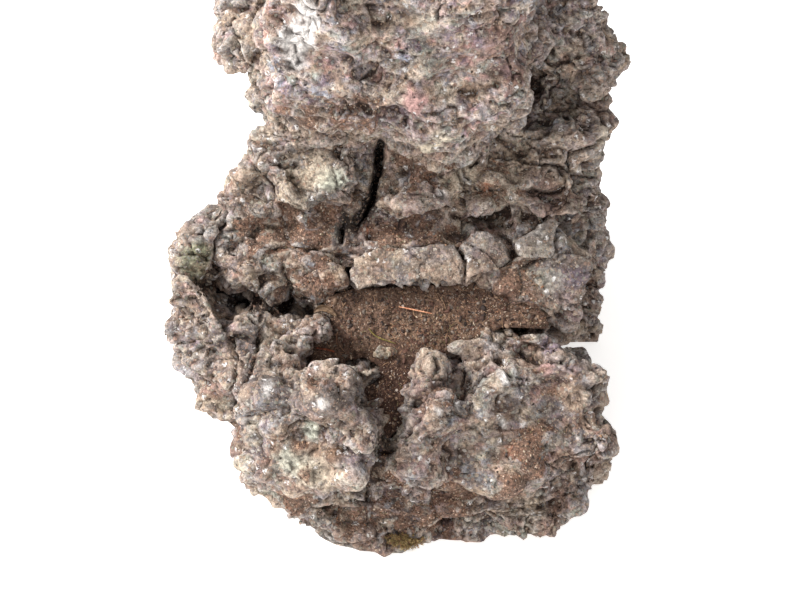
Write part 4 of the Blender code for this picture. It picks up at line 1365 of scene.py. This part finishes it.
# %% Fibres in the soil
FIBRES = 200
FIBRE_TONES = tones((140, 100, 76), (176, 140, 108), (80, 54, 44), (112, 100, 66))
FIBRE_SHARES = (0.34, 0.22, 0.34, 0.10)
FIBRE_RINGS = 8
FIBRE_SIDES = 4
rng = np.random.default_rng(7)
chosen = rng.choice(len(bed), FIBRES, replace=False, p=bed_chance / bed_chance.sum())
heading = rng.uniform(0, 2 * np.pi, FIBRES)
ahead = np.cos(heading)[:, None] * np.array((1.0, 0, 0)) + np.sin(heading)[:, None] * UPSLOPE
beside = np.cross(OUTWARD, ahead)
length = 2.5 + 7.0 * rng.random(FIBRES) ** 2
t = np.linspace(-0.5, 0.5, FIBRE_RINGS)
bow = rng.normal(0.0, 0.12, FIBRES) * length
tip = rng.normal(0.0, 0.09, FIBRES) * length
paths = bed[chosen][:, None] + ahead[:, None] * (length[:, None] * t)[..., None]
paths = paths + beside[:, None] * (bow[:, None] * (1.0 - 4.0 * t * t))[..., None]
paths = paths + OUTWARD * (0.28 + tip[:, None] * t + 0.35 * t * t)[..., None]
width = rng.uniform(0.07, 0.17, FIBRES)
points, faces = tubes(paths, width[:, None] * (1.0 - 1.6 * t * t), FIBRE_SIDES)
fibres = new_piece("soil_fibres", points, faces)
kind = rng.choice(len(FIBRE_TONES), FIBRES, p=FIBRE_SHARES)
fibre_tint = FIBRE_TONES[kind] * rng.uniform(0.7, 1.2, (FIBRES, 1))
store(fibres.data, "tint", np.repeat(fibre_tint, len(points) // FIBRES, axis=0))
hand_over(fibres, grit)
print(FIBRES, "fibres of", length.min().round(1), "to", length.max().round(1), "mm")

# %% [markdown]
# ## Needles, twig and leaf
#
# Two fallen needles, a red-brown twig and a curled leaf lie on the soil. Each could keep its plain
# solid, but a solid here has only a few faces. Instead each follows the line of its solid: a polynomial
# through the line's few points gives as many rings as the shape needs.

# %% Needles and twig
STICK_RINGS = 64
STICK_SIDES = 10
NEAR_CORNERS = 6
DRY_END = linear(60, 36, 26)


def from_slope(x, s, n):
    """Upright points in millimetres: basin middle + x across + s up the slope + n outwards."""
    x, s, n = np.broadcast_arrays(x, s, n)
    across = x[..., None] * np.array((1.0, 0.0, 0.0))
    return BASIN + across + s[..., None] * UPSLOPE + n[..., None] * OUTWARD


def centre_line(node, route, count):
    """Points along a node's middle, and their shares of the way. n at each point of the route is the mean
    of the node's corners near it, and a polynomial through the route's points fills in the rest."""
    x, s, n = to_slope(corners_of(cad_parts[node].data))
    heights = [n[np.argsort(np.hypot(x - px, s - py))[:NEAR_CORNERS]].mean() for px, py in route]
    known = np.linspace(0.0, 1.0, len(route))
    t = np.linspace(0.0, 1.0, count)
    columns = np.column_stack((np.array(route), heights)).T
    x, s, n = [np.polyval(np.polyfit(known, column, len(route) - 1), t) for column in columns]
    return from_slope(x, s, n), t


def plant_finish(name, dark, light, roughness):
    """A dry plant finish: two tones in streaks, darker at the start of the piece, where its attribute t
    is 0."""
    material, tree, shader, place = new_finish(name, roughness, 0.4)
    streak = clouds(place, 1.2, 4.0)
    colour = overlay(between(streak, 0.35, 0.65), linear(*dark), linear(*light))
    colour = overlay(times(between(painted(tree, "t"), 0.06, 0.0), 0.8), colour, DRY_END)
    dress(shader, colour, streak, 0.08)
    return material


STICKS = (
    ("needle_light", [(-1, -0.6), (8, -2.4), (18.2, -4.6)], 0.42, 0.35, 0.0,
     (180, 112, 80), (232, 176, 140), 0.45),
    ("needle_olive", [(-18, -12.4), (-14, -17), (-9, -19.3), (-2.3, -21.5)], 0.4, 0.4, 0.0,
     (88, 84, 42), (136, 118, 60), 0.6),
    ("twig", [(-47.6, -24), (-41.5, -24.8), (-37, -26.2)], 0.58, 0.75, 0.22,
     (88, 44, 30), (150, 84, 56), 0.85),
)
for node, route, radius, tip_share, knots, dark, light, roughness in STICKS:
    path, t = centre_line(node, route, STICK_RINGS)
    profile = radius * (tip_share + (1.0 - tip_share) * np.sin(np.pi * np.clip(t, 0.02, 0.98)) ** 0.5)
    profile = profile + knots * radius * (np.abs((t * 5.0) % 1.0 - 0.5) < 0.09) * (t > 0.1) * (t < 0.95)
    points, faces = tubes(path[None], profile[None], STICK_SIDES)
    grooves = 0.06 * radius * layered_noise(points, 0.9, 2, 131)
    middle = np.repeat(path, STICK_SIDES, axis=0)
    points = points + unit(points - middle) * grooves[:, None]
    stick = new_piece(node + "_stick", points, faces)
    store(stick.data, "t", np.repeat(t, STICK_SIDES))
    stick.data.shade_smooth()
    hand_over(stick, plant_finish("dry_" + node, dark, light, roughness), node)
    print(node, "is", np.linalg.norm(np.diff(path, axis=0), axis=1).sum().round(1), "mm long")

# %% Blade of the leaf
LEAF_ROUTE = [(-49, -4), (-43, -1.5), (-36, -6.5)]
LEAF_HALF_WIDTH = 1.7
LEAF_HALF_THICKNESS = 0.14
LEAF_SINK = 0.35
LEAF_ROWS, LEAF_COLUMNS = 48, 13
path, t = centre_line("dry_leaf", LEAF_ROUTE, LEAF_ROWS)
v = np.linspace(-1.0, 1.0, LEAF_COLUMNS)
along = unit(np.gradient(path, axis=0))
beside = unit(np.cross(along, OUTWARD))
half = LEAF_HALF_WIDTH * np.sin(np.pi * t) ** 0.6 + 0.12
curl = 0.75 * v**2 * half[:, None] + 0.12 * np.sin(9.0 * t[:, None] + 2.0 * v) * np.abs(v)
blade = path[:, None] + beside[:, None] * (half[:, None] * v)[..., None]
blade = blade + OUTWARD * (curl - LEAF_SINK)[..., None]
skin_up = unit(np.cross(np.gradient(blade, axis=0), np.gradient(blade, axis=1)))
skin_up = skin_up * np.sign((skin_up @ OUTWARD).mean())
thick = skin_up * (LEAF_HALF_THICKNESS * (1.0 - 0.85 * np.abs(v) ** 4))[None, :, None]
both = np.stack((blade + thick, blade - thick))
number = np.arange(both.size // 3).reshape(both.shape[:3])


def sheet_faces(grid):
    """Triangles of a grid of point numbers, two to a square."""
    return squares(grid[:-1, :-1], grid[1:, :-1], grid[1:, 1:], grid[:-1, 1:])


border = np.concatenate(
    (number[:, :, 0], number[:, -1, 1:], number[:, ::-1, -1][:, 1:], number[:, 0, ::-1][:, 1:]), 1
)
upper_side, under_side, rim = [sheet_faces(grid) for grid in (number[0], number[1], border)]
leaf = new_piece(
    "dry_leaf_blade", both.reshape(-1, 3), np.concatenate((upper_side, under_side[:, ::-1], rim[:, ::-1]))
)
bm = bmesh.new()
bm.from_mesh(leaf.data)
bmesh.ops.recalc_face_normals(bm, faces=bm.faces)
bm.to_mesh(leaf.data)
bm.free()
store(leaf.data, "v", np.tile(np.abs(v), 2 * LEAF_ROWS))
leaf.data.shade_smooth()
print("leaf", len(leaf.data.polygons), "triangles")

# %% Finish of the leaf
DARK_LEAF, PALE_LEAF, LEAF_VEIN = tones((84, 64, 48), (128, 104, 80), (160, 134, 106))
withered, tree, shader, place = new_finish("dry_leaf_finish", 0.6, 0.4)
blotches = between(clouds(place, 1.6, 4.0), 0.35, 0.65)
colour = overlay(blotches, DARK_LEAF, PALE_LEAF)
colour = overlay(times(between(painted(tree, "v"), 0.12, 0.0), 0.6), colour, LEAF_VEIN)
dress(shader, colour, blotches, 0.1)
hand_over(leaf, withered, "dry_leaf")
print("finish of the leaf has", len(tree.nodes), "nodes")

# %% [markdown]
# ## Pebble and moss
#
# A chip of pale rock lies half sunk in the soil, and a little dry moss grows at the foot of the gully.
# The chip is made as the skin is, and shares its finish. The moss is a cushion of shoots. Hair strands
# could stand for them, but they are lost when a model leaves Blender, so each leaf of a shoot is a
# small bent blade of six triangles.

# %% Pebble
PALE_CHIP, GREEN_CHIP, CHIP_EDGE = tones((172, 154, 132), (148, 144, 126), (206, 198, 184))
CHIP_PITCH = 0.32
pebble = even_net("pebble", "pebble_chip", CHIP_PITCH, 3)
chip_points, chip_normals, _ = read(pebble.data, 2)
bulge = broken_faces(chip_points, 5.0, 0.9, 0.45, 141) + broken_faces(chip_points, 2.2, 0.8, 0.4, 145)
bulge = bulge + 0.15 * layered_noise(chip_points, 1.4, 2, 142)
chip_points = chip_points + chip_normals * bulge[:, None]
move_to(pebble.data, chip_points)
chip_tint = mixed(PALE_CHIP, GREEN_CHIP, patches(chip_points, 3.0, 143, -0.2, 0.3))
chip_tint = mixed(chip_tint, DUST_BROWN, fade(layered_noise(chip_points, 2.4, 2, 144), 0.1, 0.5) * 0.8)
chip_tint = mixed(chip_tint, CHIP_EDGE, fade(bulge, 0.25, 0.6) * 0.5)
store(pebble.data, "tint", chip_tint)
store(pebble.data, "dust", fade(chip_normals @ OUTWARD, 0.1, -0.4) * 0.8)
pebble.data.shade_smooth()
hand_over(pebble, rock, "pebble")
print("pebble", len(pebble.data.polygons), "faces")

# %% Shoots of the moss
SHOOTS = 260
LEAVES = 12
LEAF_TURN = 2.4
rng = np.random.default_rng(8)
low, high = [np.array(corner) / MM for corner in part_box("moss")]
middle, half_size = (low + high) / 2, (high - low) / 2
direction = unit(rng.normal(size=(SHOOTS, 3)) + np.array((0.0, -0.9, 0.9)))
root = middle + direction * half_size * rng.uniform(0.6, 0.95, (SHOOTS, 1))
grow = unit(direction + 0.35 * rng.normal(size=(SHOOTS, 3)))
shoot_length = rng.uniform(1.0, 2.1, SHOOTS)
level = np.linspace(0.15, 1.0, LEAVES)
base_point = root[:, None] + grow[:, None] * (shoot_length[:, None] * level)[..., None]
spin = rng.uniform(0, 2 * np.pi, (SHOOTS, 1)) + np.arange(LEAVES) * LEAF_TURN
first_side = unit(np.cross(grow, np.array((0.3, 0.2, 1.0))))
second_side = np.cross(grow, first_side)
outwards = np.cos(spin)[..., None] * first_side[:, None] + np.sin(spin)[..., None] * second_side[:, None]
flank = np.cross(outwards, grow[:, None])
print(SHOOTS, "shoots of", shoot_length.min().round(1), "to", shoot_length.max().round(1), "mm")

# %% Leaves of the moss
LEAF_FACES = np.array(((0, 1, 2), (0, 2, 3), (0, 4, 1), (4, 2, 1), (0, 3, 4), (4, 3, 2)))
CUSHION_SHARE = 0.82
long = rng.uniform(0.7, 1.25, (SHOOTS, LEAVES))[..., None]
wide = 0.17 * long
waist = base_point + outwards * 0.45 * long + grow[:, None] * 0.25 * long
tip_point = base_point + outwards * 0.8 * long + grow[:, None] * 0.75 * long
under = waist - outwards * 0.06 - grow[:, None] * 0.04
corners = (base_point, waist + flank * wide, tip_point, waist - flank * wide, under)
leaf_points = np.stack(corners, 2).reshape(-1, 3)
cushion = middle + BALL * half_size * CUSHION_SHARE
leaf_faces = copies(LEAF_FACES, SHOOTS * LEAVES, len(corners))
moss = new_piece(
    "moss_tufts",
    np.concatenate((leaf_points, cushion)),
    np.concatenate((leaf_faces, BALL_FACES + len(leaf_points))),
)
print("moss", len(moss.data.polygons), "triangles")

# %% Finish of the moss
MOSS_TONES = tones((178, 152, 104), (204, 178, 128), (150, 130, 88), (178, 138, 102))
MOSS_SHARES = (0.35, 0.25, 0.2, 0.2)
CUSHION_BROWN = linear(116, 90, 68)
kind = rng.choice(len(MOSS_TONES), SHOOTS, p=MOSS_SHARES)
leaf_tint = MOSS_TONES[kind][:, None] * rng.uniform(0.7, 1.2, (SHOOTS, LEAVES, 1))
leaf_tint = leaf_tint * (0.6 + 0.6 * level)[None, :, None]
leaf_tint = np.repeat(leaf_tint.reshape(-1, 3), len(corners), axis=0)
store(moss.data, "tint", np.concatenate((leaf_tint, np.tile(CUSHION_BROWN, (len(BALL), 1)))))
moss_finish = tinted_finish("dry_moss", 0.85, 0.25, (0.6, 0.65, 1.35), (0.3, 2.0), 0.06)
hand_over(moss, moss_finish, "moss")
print("moss tint", leaf_tint.mean(0).round(3))

# %% [markdown]
# ## Floor and light
#
# The stone stands on a plain white surface that is lit well past white, with one large soft light from
# the upper left. A single sun would draw hard shadows. A wide area light, a weaker one in front, a
# white world and a floor with a little light of its own keep the shadow side soft and the floor clean.

# %% Floor
FLOOR_HALF = 3.0
FLOOR_FINISH = {
    "Base Color": (0.9, 0.9, 0.9, 1.0),
    "Roughness": 0.9,
    "Emission Color": (1.0, 0.985, 0.965, 1.0),
    "Emission Strength": 0.6,
}
floor_mesh = bpy.data.meshes.new("floor")
floor_corners = [(FLOOR_HALF * a, FLOOR_HALF * b, 0.0) for a, b in ((-1, -1), (1, -1), (1, 1), (-1, 1))]
floor_mesh.from_pydata(floor_corners, [], [(0, 1, 2, 3)])
floor = bpy.data.objects.new("floor", floor_mesh)
bpy.context.scene.collection.objects.link(floor)
pale = bpy.data.materials.new("pale_floor")
pale.use_nodes = True
for name, value in FLOOR_FINISH.items():
    pale.node_tree.nodes["Principled BSDF"].inputs[name].default_value = value
floor_mesh.materials.append(pale)
print("floor", 2 * FLOOR_HALF, "m wide")

# %% Lights
STONE_MIDDLE = Vector((0.0, 0.0, 0.1))
WORLD_STRENGTH = 0.58


def add_light(name, place, size, watts, colour):
    """A square soft light at place in metres, turned towards the middle of the stone."""
    data = bpy.data.lights.new(name, "AREA")
    data.size = size
    data.energy = watts
    data.color = colour
    lamp = bpy.data.objects.new(name, data)
    bpy.context.scene.collection.objects.link(lamp)
    lamp.location = place
    lamp.rotation_mode = "QUATERNION"
    lamp.rotation_quaternion = (Vector(place) - STONE_MIDDLE).to_track_quat("Z", "Y")
    print(name, watts, "W")


add_light("window_light", (-1.2, 0.15, 1.1), 0.5, 43.0, (1.0, 0.985, 0.97))
add_light("front_fill", (-0.4, -1.6, 0.75), 1.0, 12.0, (1.0, 0.99, 0.98))
world = bpy.data.worlds.new("white_room")
world.use_nodes = True
world.node_tree.nodes["Background"].inputs["Color"].default_value = (1.0, 0.995, 0.99, 1.0)
world.node_tree.nodes["Background"].inputs["Strength"].default_value = WORLD_STRENGTH
bpy.context.scene.world = world
bpy.context.scene.view_settings.view_transform = "Standard"
